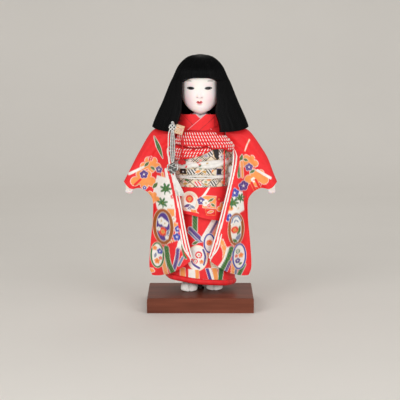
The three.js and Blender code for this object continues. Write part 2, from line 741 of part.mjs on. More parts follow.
add(
  doll,
  "under_collar",
  shell({ nu: RING, nv: 2, ring: true, outer: underCollar(2.4), inner: underCollar(0) }),
  whiteSilk,
);

// Head: half width, front depth and back depth at each height over the chin
const faceLevels = [0, 0.03, 0.1, 0.19, 0.3, 0.41, 0.5, 0.6, 0.7, 0.82, 0.93, 0.985, 1];
const W = HEAD_WIDTH / 2;
const face = profile([
  [0, 0.16 * W, 0.72 * W, -0.35 * W],
  [0.03, 0.4 * W, 0.96 * W, 0.02 * W],
  [0.1, 0.64 * W, 1.09 * W, 0.42 * W],
  [0.19, 0.81 * W, 1.14 * W, 0.72 * W],
  [0.3, 0.93 * W, 1.17 * W, 0.93 * W],
  [0.41, 0.98 * W, 1.14 * W, 1.04 * W],
  [0.5, W, 1.11 * W, 1.1 * W],
  [0.66, 0.99 * W, 1.1 * W, 1.1 * W],
  [0.82, 0.83 * W, 0.94 * W, 0.96 * W],
  [0.93, 0.56 * W, 0.66 * W, 0.68 * W],
  [0.985, 0.26 * W, 0.32 * W, 0.32 * W],
  [1, 0.08 * W, 0.1 * W, 0.1 * W],
]);
const NOSE_Z = 0.31;
const nose = (x, h) => 4 * Math.exp(-((x / 4.2) ** 2) - ((h - NOSE_Z) / 0.055) ** 2);
const headPoint = (angle, h, off) => {
  const front = face(h, 2) + off;
  const back = face(h, 3) + off;
  const middle = (back - front) / 2;
  const depth = (front + back) / 2;
  const x = (face(h) + off) * Math.sin(angle);
  const y = middle - depth * Math.cos(angle) - (Math.cos(angle) > 0 ? nose(x, h) : 0);
  return vec(x, y, CHIN_Z + HEAD_HEIGHT * h);
};
// The same surface as the flat facets between the levels have it.
const headFacet = (angle, h, off) => {
  const next = Math.max(1, faceLevels.findIndex((level) => level >= h));
  const [low, high] = [faceLevels[next - 1], faceLevels[next]];
  return headPoint(angle, low, off).lerp(headPoint(angle, high, off), (h - low) / (high - low));
};
const headRing = (h, off, n) => {
  const ring = [];
  for (let i = 0; i < n; i++) ring.push(headPoint(round(i / n), h, off));
  return ring;
};
const skull = loft(faceLevels.map((h) => headRing(h, 0, 26)));
const neck = cylinder(NECK_RADIUS, vec(0, 0, NECK_BASE + GAP), vec(0, 0, CHIN_Z + 20), 16);
const pegTop = NECK_BASE + 14;
const pegFoot = NECK_BASE - SOCKET_DEPTH + GAP;
const neckBore = cylinder(PEG_RADIUS + GAP, vec(0, 0, NECK_BASE - 1), vec(0, 0, pegTop + GAP));
const EYE_H = 0.452;
const EYE_X = 0.45 * W;
const EYE_SIZE = vec(6.6, 4.5, 3.4);
const eyeAt = (side) => {
  const angle = Math.asin(EYE_X / face(EYE_H));
  return headPoint(side * angle, EYE_H, -EYE_SIZE.y * 0.72);
};
const socket = (side) =>
  ellipsoid(eyeAt(side), EYE_SIZE.x + GAP, EYE_SIZE.y + GAP, EYE_SIZE.z + GAP, 10, 6);
add(doll, "head", cut(join(skull, neck), neckBore, socket(1), socket(-1)), gofun);
for (const [name, side] of [["left", 1], ["right", -1]]) {
  const eye = ellipsoid(eyeAt(side), EYE_SIZE.x, EYE_SIZE.y, EYE_SIZE.z, 10, 6);
  add(doll, `${name}_eye`, closedCopy(eye), glassEye);
}
add(doll, "neck_peg", cylinder(PEG_RADIUS, vec(0, 0, pegFoot), vec(0, 0, pegTop)), woodPeg);

// Hair: half width, front depth and back depth at each height below its top
const hair = profile([
  [-135, 86, 46, 62],
  [-127, 85, 46, 62],
  [-102, 75, 43, 60],
  [-87, 68, 41, 58],
  [-65, 59, 40, 54],
  [-49, 52.5, 42, 50],
  [-39, 47.5, 43.5, 48],
  [-31, 44, 43.5, 46],
  [-20.5, 38.5, 39, 41],
  [-10, 29, 29.5, 31],
  [-3, 17, 17.5, 18],
  [0, 3, 3, 3],
]);
const hairPoint = (angle, drop, off) => {
  const grow = 1 - off / hair(drop);
  return onEllipse(angle, hair(drop) * grow, hair(drop, 2) - off, hair(drop, 3) - off, HAIR_TOP + drop);
};
const RIM_DROP = -48;
const FRINGE_DROP = -39;
const rimDrop = (angle) => {
  const front = smooth(Math.cos(angle), 0.72, 1);
  return mix(RIM_DROP, FRINGE_DROP, front);
};
const capLevels = [1, 1, 0.985, 0.93, 0.82, 0.7];
const capInner = (u, v) => {
  const angle = round(u);
  const step = Math.round(v * capLevels.length);
  const rim = (HAIR_TOP + rimDrop(angle) - CHIN_Z - GAP) / HEAD_HEIGHT;
  const h = step < capLevels.length ? capLevels[step] : rim;
  const p = headFacet(angle, h, 0.8);
  if (step === 0) p.set(0, 0, 0);
  return p.setZ(CHIN_Z + HEAD_HEIGHT * h + GAP);
};
const capOuter = (u, v) => {
  if (v === 0) return vec(0, 0, HAIR_TOP);
  return hairPoint(round(u), rimDrop(round(u)) * v ** 1.4, 0);
};
add(
  doll,
  "hair_cap",
  shell({ nu: 26, nv: capLevels.length, ring: true, outer: capOuter, inner: capInner }),
  hairBlack,
);

// The hanging hair stops beside the face: its two front edges, by height
const LOCK_TOP = RIM_DROP - GAP;
const lockDrop = (angle) => mix(-135, -128, Math.abs(Math.sin(angle)) ** 6);
const lockStart = (side, drop) => {
  const spread = side < 0 ? 19 * smooth(-drop, 88, 124) : 4 * smooth(-drop, 98, 132);
  const x = 31.5 + spread;
  return Math.asin(x / hair(drop));
};
const hangingHair = (isOuter) => (u, v) => {
  const turn = mix(-1, 1, u);
  const drop0 = mix(LOCK_TOP, -131, v);
  const first = lockStart(turn < 0 ? -1 : 1, drop0);
  const angle = Math.sign(turn || 1) * mix(Math.PI, first, Math.abs(turn));
  const drop = mix(LOCK_TOP, lockDrop(angle), v);
  const toEdge = smooth(Math.abs(turn), 0.72, 1);
  const thick = mix(mix(6, 12, v), mix(3, turn < 0 ? 4 : 7, v), toEdge);
  return hairPoint(angle, drop, isOuter ? 0 : thick);
};
const headRoom = loft(faceLevels.map((h) => headRing(h, 0.8, 26)));
add(
  doll,
  "hanging_hair",
  cut(
    shell({ nu: 26, nv: 6, outer: hangingHair(true), inner: hangingHair(false) }),
    headRoom,
  ),
  hairBlack,
);

// Arms, built for the left side and mirrored for the right
const ARM_LINE = [
  vec(ARMHOLE_X + GAP, ARM_Y, SHOULDER_Z),
  vec(ARMHOLE_X + 20, ARM_Y - 1, SHOULDER_Z - 1),
  vec(ARMHOLE_X + 46, ARM_Y - 3, SHOULDER_Z - 19),
  vec(ARMHOLE_X + 68, ARM_Y - 6, SHOULDER_Z - 54),
  vec(ARMHOLE_X + 83, ARM_Y - 8, SHOULDER_Z - 82),
];
const armCurve = new THREE.CatmullRomCurve3(ARM_LINE);
const armSpan = (from, to, n) => {
  const points = [];
  for (let i = 0; i <= n; i++) points.push(armCurve.getPoint(mix(from, to, i / n)));
  return points;
};
const ELBOW = 0.55;
const upperArmRadii = [UPPER_ARM_RADIUS, UPPER_ARM_RADIUS * 1.05, UPPER_ARM_RADIUS * 0.92];
const forearmRadii = [FOREARM_RADIUS * 1.2, FOREARM_RADIUS * 1.1, FOREARM_RADIUS];
const upperArm = limb(armSpan(0, ELBOW - 0.01, 6), upperArmRadii, 4, 10);
const forearm = limb(armSpan(ELBOW + 0.01, 1, 6), forearmRadii, 4, 10);
const wrist = ARM_LINE[4];
const handLine = [
  wrist.clone().add(vec(-1, 0, 3)),
  wrist.clone().add(vec(0, -1, -4)),
  wrist.clone().add(vec(-1, -2, -10)),
  wrist.clone().add(vec(-4, -3, -14.5)),
];
const handWide = [FOREARM_RADIUS, 6.6, 7, 4.2];
const handRings = handLine.map((p, i) => {
  const ring = [];
  for (let k = 0; k < 10; k++) {
    const angle = round(k / 10);
    const deep = handWide[i] * Math.cos(angle);
    const thin = (i === 0 ? FOREARM_RADIUS : mix(4.6, 2.6, i / 3)) * Math.sin(angle);
    ring.push(p.clone().add(vec(thin, deep, 0)));
  }
  return ring;
});
const thumbLine = [vec(0, -5, -3), vec(-1, -8, -7), vec(-3, -8.5, -11)].map((p) => p.add(wrist));
const thumb = (grow) => limb(thumbLine, [2.6 + grow, 2.4 + grow, 1.8 + grow], 3, 6);
const hand = join(forearm, loft(handRings), thumb(0));

// Sleeve outline seen from the front, from the shoulder seam: [x, z]
const point2 = (x, z) => new THREE.Vector2(x, z);
const fromShoulder = (rows) =>
  new THREE.SplineCurve(rows.map(([x, z]) => point2(ARMHOLE_X + x, SHOULDER_Z + z)));
const BAG_FOOT = -SLEEVE_DROP - 32;
const sleeveRidge = fromShoulder([[GAP, 19], [20, 18], [41, 12], [64, -25], [79, -54], [91, -77]]);
const sleeveOuter = fromShoulder([
  [91, -77],
  [79, -89],
  [62, -89],
  [47, -98],
  [38.5, -114],
  [39, -146],
  [44, -190],
  [46, BAG_FOOT + 16],
  [41, BAG_FOOT],
]);
const sideClear = OBI_A - ARMHOLE_X + 6.8;
const sleeveInner = fromShoulder([
  [GAP, 19],
  [GAP + 0.5, -6],
  [sideClear, -17],
  [sideClear + 0.6, -40],
  [6, -76],
  [-9, -142],
  [-27, -SLEEVE_DROP + 2],
]);
const sleeveFoot = fromShoulder([
  [-27, -SLEEVE_DROP + 2],
  [0, -SLEEVE_DROP - 19],
  [25, BAG_FOOT + 1],
  [41, BAG_FOOT],
]);
const sleevePlace = (u, v) => {
  const ridge = sleeveRidge.getPoint(u).multiplyScalar(1 - v);
  const foot = sleeveFoot.getPoint(u).multiplyScalar(v);
  const inner = sleeveInner.getPoint(v).multiplyScalar(1 - u);
  const outer = sleeveOuter.getPoint(v).multiplyScalar(u);
  const p = ridge.add(foot).add(inner).add(outer);
  p.addScaledVector(sleeveRidge.getPoint(0), -(1 - u) * (1 - v));
  p.addScaledVector(sleeveRidge.getPoint(1), -u * (1 - v));
  p.addScaledVector(sleeveFoot.getPoint(0), -(1 - u) * v);
  p.addScaledVector(sleeveFoot.getPoint(1), -u * v);
  return p;
};

// How far forward the clothes on the body reach at (x, z), with room for the sleeve behind it
const bodyFront = (x, z) => {
  const skirtGrow = skirtOff(z) + SKIRT_OUT + 2.2;
  const foldGrow = FOLD_OUT + 10;
  const hemGrow = skirtOff(HEM_HEIGHT) + SKIRT_OUT + HEM_ROLL + 2;
  const waistGrow = z > OBI_BOTTOM - 1 ? OBI_OUT + 2 * CORD_WIDE_RADIAL : foldGrow;
  let grow = z > FOLD_BOTTOM - 6 ? waistGrow : skirtGrow;
  if (z < HEM_HEIGHT + 12) grow = hemGrow;
  const a = WAIST_HALF_WIDTH + grow;
  const b = WAIST_HALF_DEPTH + grow;
  return Math.abs(x) < a ? -b * Math.sqrt(1 - (x / a) ** 2) : 40;
};
const sleeveThick = (u, v) => {
  const arm = mix(2 * UPPER_ARM_RADIUS + 15, 2 * FOREARM_RADIUS + 9, smooth(u, 0, 0.8));
  const bag = mix(SLEEVE_THICK + 3, SLEEVE_THICK, u);
  const thick = mix(arm, bag, smooth(v, 0.1, 0.34));
  const ridge = Math.sqrt(Math.min(1, v / 0.07));
  const seam = mix(1, 0.35, smooth(u, 0.86, 1) * smooth(v, 0.14, 0.24));
  const foot = mix(1, 0.4, smooth(v, 0.93, 1));
  return thick * ridge * seam * foot;
};
const sleeveMiddle = (u, v, x) => {
  const arm = mix(ARM_Y, ARM_Y - 8, u);
  const bag = mix(-56, -9, smooth(x, 18, 100)) + 3.2 * Math.sin(9 * u + 2.2 * v) * smooth(v, 0.3, 0.6);
  return mix(arm, bag, smooth(v, 0.12, 0.55));
};
const sleeveBack = (u, v) => {
  const p = sleevePlace(u, v);
  const y = sleeveMiddle(u, v, p.x) + sleeveThick(u, v) / 2;
  const hung = smooth(v, 0.1, 0.2);
  const clear = bodyFront(p.x, p.y) - 1.2;
  return vec(p.x, mix(y, Math.min(y, clear), hung), p.y);
};
const sleeveFront = (u, v) => {
  const p = sleeveBack(u, v);
  p.y -= sleeveThick(u, v);
  return p;
};
const armRoom = [
  limb(armSpan(0, ELBOW - 0.01, 6), upperArmRadii.map((r) => r + 1.5 * GAP), 4, 10),
  limb(armSpan(ELBOW - 0.04, 1, 6), forearmRadii.map((r) => r + 2 * GAP), 4, 10),
  limb(
    [ARM_LINE[4].clone().lerp(ARM_LINE[3], 0.12), ARM_LINE[4], ARM_LINE[4].clone().add(vec(8, -1, -16))],
    [FOREARM_RADIUS + GAP + 0.2, FOREARM_RADIUS + 2.4, FOREARM_RADIUS + 3.4],
    2,
    10,
  ),
  cylinder(UPPER_ARM_RADIUS + GAP, pegLine(ARMHOLE_X - 4), pegLine(ARMHOLE_X + 4), 10),
];
const sleeve = cut(
  shell({ nu: 11, nv: 16, outer: sleeveFront, inner: sleeveBack }),
  ...armRoom,
  loft(handRings.map((ring, i) => growRing(ring, handLine[i], 1.3))),
  thumb(1),
);

function growRing(ring, centre, factor) {
  return ring.map((p) => p.clone().sub(centre).multiplyScalar(factor).add(centre));
}

// The white edge of the under-sleeve: a hairpin down one side of the open edge and up the other
const TRIM_TOP = 0.345;
const TRIM_FOOT = 0.955;
const trimPoint = (v, face) => {
  const p = face(0, v);
  const other = face === sleeveFront ? sleeveBack(0, v) : sleeveFront(0, v);
  p.lerp(other, TRIM_RADIUS / p.distanceTo(other));
  return p.add(vec(-TRIM_RADIUS - GAP - 0.5, 0, 0));
};
const trimLine = [];
for (let i = 0; i <= 7; i++) trimLine.push(trimPoint(mix(TRIM_TOP, TRIM_FOOT, i / 7), sleeveFront));
trimLine.push(mixPoint(trimPoint(0.985, sleeveFront), trimPoint(0.985, sleeveBack), 0.5));
for (let i = 7; i >= 0; i--) trimLine.push(trimPoint(mix(TRIM_TOP, TRIM_FOOT, i / 7), sleeveBack));
const trim = tube(trimLine, TRIM_RADIUS, 22);

const mirrored = (geometry) => {
  const copy = geometry.clone();
  copy.scale(-1, 1, 1);
  return closedCopy(copy);
};
const armPieces = [
  ["upper_arm", cut(upperArm, shoulderBore(1)), stuffing],
  ["forearm", hand, gofun],
  ["sleeve", sleeve, redCrepe],
  ["undersleeve_edge", closedCopy(trim), whiteSilk],
];
for (const [name, geometry, surface] of armPieces) {
  add(doll, `left_${name}`, closedCopy(geometry), surface);
  add(doll, `right_${name}`, mirrored(geometry), surface);
}

// Purse in the collar, with its red cord and knot
const PURSE_X = -37;
const PURSE_Z = COLLAR_FOOT + 2;
const scarfFront = (x, z) => {
  const angle = Math.asin(THREE.MathUtils.clamp(x / (OBI_A + OBIAGE_BULGE), -1, 1));
  const v = (z - scarfFoot(angle)) / (scarfTop(angle) - scarfFoot(angle));
  return v < 0 || v > 1 ? chestY(x, z, 0) : scarfSide(true)(angle / (2 * Math.PI), v).y;
};
const purseSpots = [-0.63, -0.32, 0, 0.32, 0.63];
const purseBacks = purseSpots.flatMap((s) =>
  purseSpots.map((t) => scarfFront(PURSE_X + s * PURSE_WIDTH, PURSE_Z + t * PURSE_HEIGHT)),
);
const purseY = Math.min(...purseBacks) - 2 * GAP;
const purse = new THREE.BoxGeometry(PURSE_WIDTH, PURSE_THICK, PURSE_HEIGHT, 3, 2, 3);
purse.rotateY(rad(PURSE_TILT));
purse.translate(PURSE_X, purseY - PURSE_THICK / 2, PURSE_Z);
add(doll, "chest_purse", closedCopy(purse), goldBrocade);

// Tassel, hung from a loop on the purse
const TASSEL_X = -48.5;
const TASSEL_Y = -64.5;
const TASSEL_Z = PURSE_Z + 6.5;
const loopEnd = vec(TASSEL_X, TASSEL_Y, TASSEL_Z + TASSEL_KNOT_RADIUS + 1.5);
const loopStart = vec(PURSE_X - PURSE_WIDTH / 2 - 0.4, purseY - PURSE_THICK / 2, PURSE_Z + 6);
const loop = tube([loopStart, mixPoint(loopStart, loopEnd, 0.5).add(vec(0, 0, 4)), loopEnd], 0.9, 6);
add(doll, "tassel_loop", closedCopy(loop), silverCord);
const topKnot = ellipsoid(vec(TASSEL_X, TASSEL_Y, TASSEL_Z), TASSEL_KNOT_RADIUS, TASSEL_KNOT_RADIUS * 0.9, TASSEL_KNOT_RADIUS, 12, 8);
add(doll, "tassel_top_knot", closedCopy(topKnot), silverCord);
const LOWER_KNOT = 12;
const cordTop = TASSEL_Z - TASSEL_KNOT_RADIUS - GAP;
const cordFoot = TASSEL_Z - TASSEL_DROP + LOWER_KNOT + GAP;
const cordRing = (z, a, b) => {
  const ring = [];
  for (let i = 0; i < 14; i++) {
    const angle = round(i / 14);
    ring.push(vec(TASSEL_X + a * Math.sin(angle), TASSEL_Y - b * Math.cos(angle), z));
  }
  return ring;
};
const flat = TASSEL_CORD_RADIUS;
const cords = loft([
  cordRing(cordTop, flat * 0.7, flat * 0.7),
  cordRing(cordTop - 8, flat * 1.1, flat * 0.7),
  cordRing(mix(cordTop, cordFoot, 0.6), flat * 1.25, flat * 0.65),
  cordRing(cordFoot + 6, flat * 1.1, flat * 0.7),
  cordRing(cordFoot, flat * 0.8, flat * 0.7),
]);
add(doll, "tassel_cords", cords, silverCord);
const lowerAt = vec(TASSEL_X, TASSEL_Y, TASSEL_Z - TASSEL_DROP);
const lowerKnot = ellipsoid(lowerAt, LOWER_KNOT * 0.85, LOWER_KNOT * 0.55, LOWER_KNOT, 12, 8);
add(doll, "tassel_lower_knot", closedCopy(lowerKnot), silverCord);
const fringeTop = vec(TASSEL_X + 1, TASSEL_Y, lowerAt.z - LOWER_KNOT - GAP);
const fringeFoot = fringeTop.clone().add(vec(13, -5, -FRINGE_LENGTH));
const fringeRing = (t, r, n = 14) => {
  const centre = mixPoint(fringeTop, fringeFoot, t);
  const ring = [];
  for (let i = 0; i < n; i++) {
    const angle = round(i / n);
    ring.push(centre.clone().add(vec(r * Math.sin(angle), -0.5 * r * Math.cos(angle), 0)));
  }
  return ring;
};
add(doll, "tassel_fringe", loft([fringeRing(0, 3), fringeRing(0.25, 5), fringeRing(1, 8.5)]), whiteSilk);

// Red cord from the purse over the scarf, its knot, and the tie at the doll's left
const CORD_X = PURSE_X + 5.5;
const CORD_RADIUS = 1.2;
const cordFrom = PURSE_Z - PURSE_HEIGHT / 2 - 2.3;
const overScarf = [vec(CORD_X, purseY - PURSE_THICK / 2, cordFrom)];
for (let i = 0; i <= 8; i++) {
  const z = mix(cordFrom - 4, scarfFoot(rad(-35)) + 4.4, i / 8);
  overScarf.push(vec(CORD_X, scarfFront(CORD_X, z) - CORD_RADIUS - 1.4, z));
}
add(doll, "purse_cord", closedCopy(tube(overScarf, CORD_RADIUS, 12)), redCrepe);
const overObi = (x, off) => {
  const a = OBI_A + off;
  return -(OBI_B + off) * Math.sqrt(1 - (x / a) ** 2);
};
const CORD_STACK = 2 * CORD_WIDE_RADIAL + 2 * GAP;
const RED_KNOT = vec(8, 3.6, 5);
const redKnotX = CORD_X - 1;
const redKnotTurn = -Math.asin(-redKnotX / (OBI_A + 4));
const redKnotZ = scarfClear(redKnotTurn, wideCordZ(redKnotTurn), CORD_WIDE_HALF_HEIGHT) + 6;
const redKnotY = overObi(redKnotX, GAP + 2 * cordRadial(redKnotTurn)) - RED_KNOT.y - 2 * GAP;
const redKnot = ellipsoid(vec(redKnotX, redKnotY, redKnotZ), RED_KNOT.x, RED_KNOT.y, RED_KNOT.z, 10, 7);
add(doll, "red_knot", closedCopy(redKnot), redCrepe);
const TIE_X = 42;
const tieLine = [];
for (let i = 0; i <= 10; i++) {
  const z = mix(OBI_TOP - 15, OBI_BOTTOM + 3, i / 10);
  const angle = Math.asin(TIE_X / (OBI_A + 4));
  const wide = smooth(Math.abs(z - wideCordZ(angle)), CORD_WIDE_HALF_HEIGHT + 8, CORD_WIDE_HALF_HEIGHT);
  const thin = smooth(Math.abs(z - CORD_THIN_Z), CORD_THIN_RADIUS + 8, CORD_THIN_RADIUS);
  const lift = Math.max(CORD_STACK * wide, (2 * CORD_THIN_RADIUS + GAP) * thin, GAP);
  tieLine.push(vec(TIE_X, overObi(TIE_X, lift + CORD_RADIUS) - 0.6, z));
}
add(doll, "red_tie", closedCopy(tube(tieLine, CORD_RADIUS, 14)), redCrepe);

export default part;
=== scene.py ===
"""Ichimatsu doll in a dyed furisode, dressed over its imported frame."""
import json
import math

import bmesh
import bpy
import numpy as np
from bpy.props import FloatProperty, FloatVectorProperty, IntProperty, PointerProperty
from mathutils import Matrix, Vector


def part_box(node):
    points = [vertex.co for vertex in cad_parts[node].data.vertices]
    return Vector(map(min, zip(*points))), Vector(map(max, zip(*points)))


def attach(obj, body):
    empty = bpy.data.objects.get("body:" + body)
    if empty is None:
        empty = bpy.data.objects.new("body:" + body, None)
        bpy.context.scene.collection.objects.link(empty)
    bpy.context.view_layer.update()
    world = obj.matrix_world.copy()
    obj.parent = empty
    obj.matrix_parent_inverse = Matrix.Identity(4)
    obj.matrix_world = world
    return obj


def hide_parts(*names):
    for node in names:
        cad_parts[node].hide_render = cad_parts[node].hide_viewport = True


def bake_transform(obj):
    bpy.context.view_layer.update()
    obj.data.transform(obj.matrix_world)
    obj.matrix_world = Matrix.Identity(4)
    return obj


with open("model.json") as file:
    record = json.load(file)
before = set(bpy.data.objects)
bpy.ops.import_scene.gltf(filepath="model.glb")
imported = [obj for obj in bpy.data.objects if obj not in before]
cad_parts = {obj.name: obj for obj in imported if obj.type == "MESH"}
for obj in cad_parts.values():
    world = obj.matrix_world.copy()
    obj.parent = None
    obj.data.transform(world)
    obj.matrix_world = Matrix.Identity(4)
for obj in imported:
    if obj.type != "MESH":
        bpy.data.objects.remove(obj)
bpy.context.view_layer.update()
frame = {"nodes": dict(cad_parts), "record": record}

bl_info = {
    "name": "Ichimatsu Doll",
    "version": (1, 0, 0),
    "blender": (4, 5, 0),
    "location": "View3D > Sidebar > Doll",
    "description": "Dresses the doll: dyed kimono, brocade obi, face, hair and stand",
    "category": "Object",
}

# The doll's own millimetres: its soles are at the origin and it faces -Y
RAISE = np.array((0.0, 15.0, 26.0))
HALF_TURN = math.pi
FULL_TURN = 2 * math.pi
SURROUND = (1.0, 0.985, 0.96, 1)


def shade(red, green, blue):
    """A colour as it is seen, 0 to 255, in the linear values that Blender takes."""
    parts = np.array((red, green, blue)) / 255
    return tuple(np.where(parts <= 0.04045, parts / 12.92, ((parts + 0.055) / 1.055) ** 2.4))


def colour_prop(label, what, *seen):
    return FloatVectorProperty(name=label, description=what, subtype="COLOR", size=3, min=0, max=1,
                               default=shade(*seen))


class DollColours(bpy.types.PropertyGroup):
    """Dyes, threads and paints"""
    red: colour_prop("Red", "Ground of the kimono", 240, 26, 34)
    crimson: colour_prop("Crimson", "Lining and shaded red", 206, 16, 28)
    orange: colour_prop("Orange", "Clouds and ribbons", 250, 158, 82)
    green: colour_prop("Green", "Leaves and ribbons", 40, 112, 52)
    purple: colour_prop("Purple", "Medallions and plums", 84, 56, 142)
    blue: colour_prop("Blue", "Plums and rings", 50, 62, 172)
    slate: colour_prop("Slate", "Scrolls in the medallions", 120, 134, 170)
    brown: colour_prop("Brown", "Ring of the large medallions", 166, 84, 16)
    cream: colour_prop("Cream", "Ground of the obi", 248, 237, 216)
    white: colour_prop("White", "Resist white of the silk", 246, 242, 236)
    gold: colour_prop("Gold", "Gold thread", 206, 160, 74)
    black: colour_prop("Black", "Lattice of the obi", 26, 22, 24)
    silver: colour_prop("Silver", "Tassel thread", 226, 228, 224)
    skin: colour_prop("Skin", "Shell-white of the face and hands", 248, 238, 234)
    blush: colour_prop("Blush", "Cheeks and eyelids", 253, 196, 212)
    lips: colour_prop("Lips", "Painted mouth", 206, 32, 44)
    ink: colour_prop("Ink", "Brows and lashes", 44, 34, 32)
    hair: colour_prop("Hair", "Hair", 8, 8, 9)
    lacquer: colour_prop("Lacquer", "Plinth", 116, 64, 48)


class DollSizes(bpy.types.PropertyGroup):
    """Fine sizes of the dressing"""
    strand: FloatProperty(name="Hair strand", description="Radius of a hair strand", default=0.00028,
                          min=0.0001, max=0.001, unit="LENGTH", precision=5)
    strands: IntProperty(name="Hair strands", description="Strands laid over the hair", default=900, min=10)
    thread: FloatProperty(name="Fringe thread", description="Radius of a fringe thread", default=0.00042,
                          min=0.0001, max=0.002, unit="LENGTH", precision=5)
    threads: IntProperty(name="Fringe threads", description="Threads in the tassel", default=150, min=10)
    dash: FloatProperty(name="Tie-dye dash", description="Half length of a tie-dyed dash", default=0.00295,
                        min=0.0003, max=0.003, unit="LENGTH", precision=5)


class StageLook(bpy.types.PropertyGroup):
    """Floor, lights and camera"""
    floor: colour_prop("Floor", "Pale floor and backdrop", 236, 232, 226)
    key: FloatProperty(name="Key light", description="Power of the large front light", default=27, unit="POWER")
    fill: FloatProperty(name="Fill light", description="Power of the second front light", default=25, unit="POWER")
    low: FloatProperty(name="Low light", description="Power of the low front light", default=12, unit="POWER")
    sky: FloatProperty(name="Surround", description="Strength of the even light around", default=0.46)
    lens: FloatProperty(name="Lens", description="Focal length", default=154.6, unit="CAMERA")


def tint(name):
    """A named colour of the doll as numbers."""
    return np.array(getattr(bpy.context.scene.doll_colours, name))


def sizes():
    return bpy.context.scene.doll_sizes


# Curves and forms

def smooth(x, low, high):
    t = np.clip((np.asarray(x, float) - low) / (high - low), 0, 1)
    return t * t * (3 - 2 * t)


def mix(a, b, t):
    return a + (b - a) * t


def hump(x, width):
    return np.exp(-(np.asarray(x) / width) ** 2)


def profile(rows):
    """Smooth values through rows of (level, value, value...), with no overshoot."""
    rows = np.array(rows, float)
    level, value = rows[:, 0], rows[:, 1:]
    steep = np.diff(value, axis=0) / np.diff(level)[:, None]
    before, after = np.vstack([steep[:1], steep]), np.vstack([steep, steep[-1:]])
    least = 3 * np.minimum(abs(before), abs(after))
    slope = np.where(before * after <= 0, 0,
                     np.sign(before) * np.minimum(abs(before + after) / 2, least))

    def at(x, k=0):
        x = np.clip(x, level[0], level[-1])
        i = np.clip(np.searchsorted(level, x, side="right") - 1, 0, len(level) - 2)
        gap = level[i + 1] - level[i]
        s = (x - level[i]) / gap
        rise = value[i + 1, k] - value[i, k]
        m0, m1 = slope[i, k] * gap - rise, slope[i + 1, k] * gap - rise
        return value[i, k] + rise * s + s * (1 - s) * (m0 * (1 - s) - m1 * s)

    return at


def through(rows, t):
    """Points of a smooth curve through the rows, at shares t of its spans."""
    p = np.asarray(rows, float)
    s = np.asarray(t, float) * (len(p) - 1)
    i = np.clip(s.astype(int), 0, len(p) - 2)
    w = (s - i)[..., None]
    p0, p1, p2, p3 = (p[np.clip(i + k, 0, len(p) - 1)] for k in (-1, 0, 1, 2))
    v0, v1 = (p2 - p0) / 2, (p3 - p1) / 2
    return (2 * p1 - 2 * p2 + v0 + v1) * w ** 3 + (3 * p2 - 3 * p1 - 2 * v0 - v1) * w ** 2 + v0 * w + p1


def turns(count):
    """Angles once round the doll, from its front."""
    return np.linspace(0, FULL_TURN, count, endpoint=False)


def oval(angle, wide, front, back, z):
    deep = np.where(np.cos(angle) > 0, front, back)
    return np.stack(np.broadcast_arrays(wide * np.sin(angle), -deep * np.cos(angle), z), -1)


def quads(ids):
    return np.stack([ids[:-1, :-1], ids[:-1, 1:], ids[1:, 1:], ids[1:, :-1]], -1).reshape(-1, 4)


def shell(outer, inner, ring=True):
    """Points and faces of a closed wall between two grids with as many columns."""
    front = np.arange(outer.shape[0] * outer.shape[1]).reshape(outer.shape[:2])
    back = front.size + np.arange(inner.shape[0] * inner.shape[1]).reshape(inner.shape[:2])
    if ring:
        front, back = (np.hstack([i, i[:, :1]]) for i in (front, back))
    faces = [quads(front), quads(back[:, ::-1])]
    faces += [quads(np.stack([front[k], back[k]])) for k in (0, -1)]
    if not ring:
        faces += [quads(np.stack([front[:, k], back[:, k]])) for k in (0, -1)]
    return np.concatenate([outer.reshape(-1, 3), inner.reshape(-1, 3)]), np.concatenate(faces)


def torus(grid):
    """Points and faces of a grid that closes both ways."""
    ids = np.arange(grid.shape[0] * grid.shape[1]).reshape(grid.shape[:2])
    ids = np.vstack([ids, ids[:1]])
    return grid.reshape(-1, 3), quads(np.hstack([ids, ids[:, :1]]))


def skin(grid):
    """Points and faces of rings that are closed by a point at each end."""
    rows, cols = grid.shape[:2]
    ids = np.arange(rows * cols).reshape(rows, cols)
    points = np.concatenate([grid.reshape(-1, 3), grid[:1].mean(1), grid[-1:].mean(1)])
    faces = quads(np.hstack([ids, ids[:, :1]])).tolist()
    for row, tip in ((ids[0], rows * cols), (ids[-1], rows * cols + 1)):
        faces += [[tip, a, b] for a, b in zip(row, np.roll(row, -1))]
    return points, faces


def tube_rings(path, radius, sides=10, deep=1.0):
    """Rings round a path; radius may vary along it, and deep flattens it towards Y."""
    path = np.asarray(path, float)
    along = np.gradient(path, axis=0)
    along /= np.linalg.norm(along, axis=1)[:, None]
    side = np.cross(along, (0.0, 1.0, 0.02))
    side /= np.linalg.norm(side, axis=1)[:, None]
    other = np.cross(along, side)
    radius = np.broadcast_to(radius, len(path))[:, None, None]
    turn = turns(sides)[None, :, None]
    return path[:, None] + radius * (np.cos(turn) * side[:, None] + deep * np.sin(turn) * other[:, None])


def ball(at, half, rows=16, cols=24, ripple=None):
    """Rings of an oval ball; ripple swells it by height and turn."""
    rise = np.linspace(-0.985, 0.985, rows)[:, None] * math.pi / 2
    turn = turns(cols)[None]
    swell = 1 if ripple is None else ripple(rise, turn)
    x, y, z = (half[0] * np.cos(rise) * np.sin(turn) * swell, -half[1] * np.cos(rise) * np.cos(turn) * swell,
               half[2] * np.sin(rise) * swell)
    return np.stack(np.broadcast_arrays(x, y, z), -1) + np.asarray(at, float)


def joined(*parts):
    """Points and faces of several closed forms as one."""
    points, faces, start = [], [], 0
    for some, theirs in parts:
        points.append(np.asarray(some).reshape(-1, 3))
        faces += [[i + start for i in face] for face in np.asarray(theirs, dtype=object).tolist()] \
            if isinstance(theirs, np.ndarray) else [[i + start for i in face] for face in theirs]
        start += len(points[-1])
    return np.concatenate(points), faces


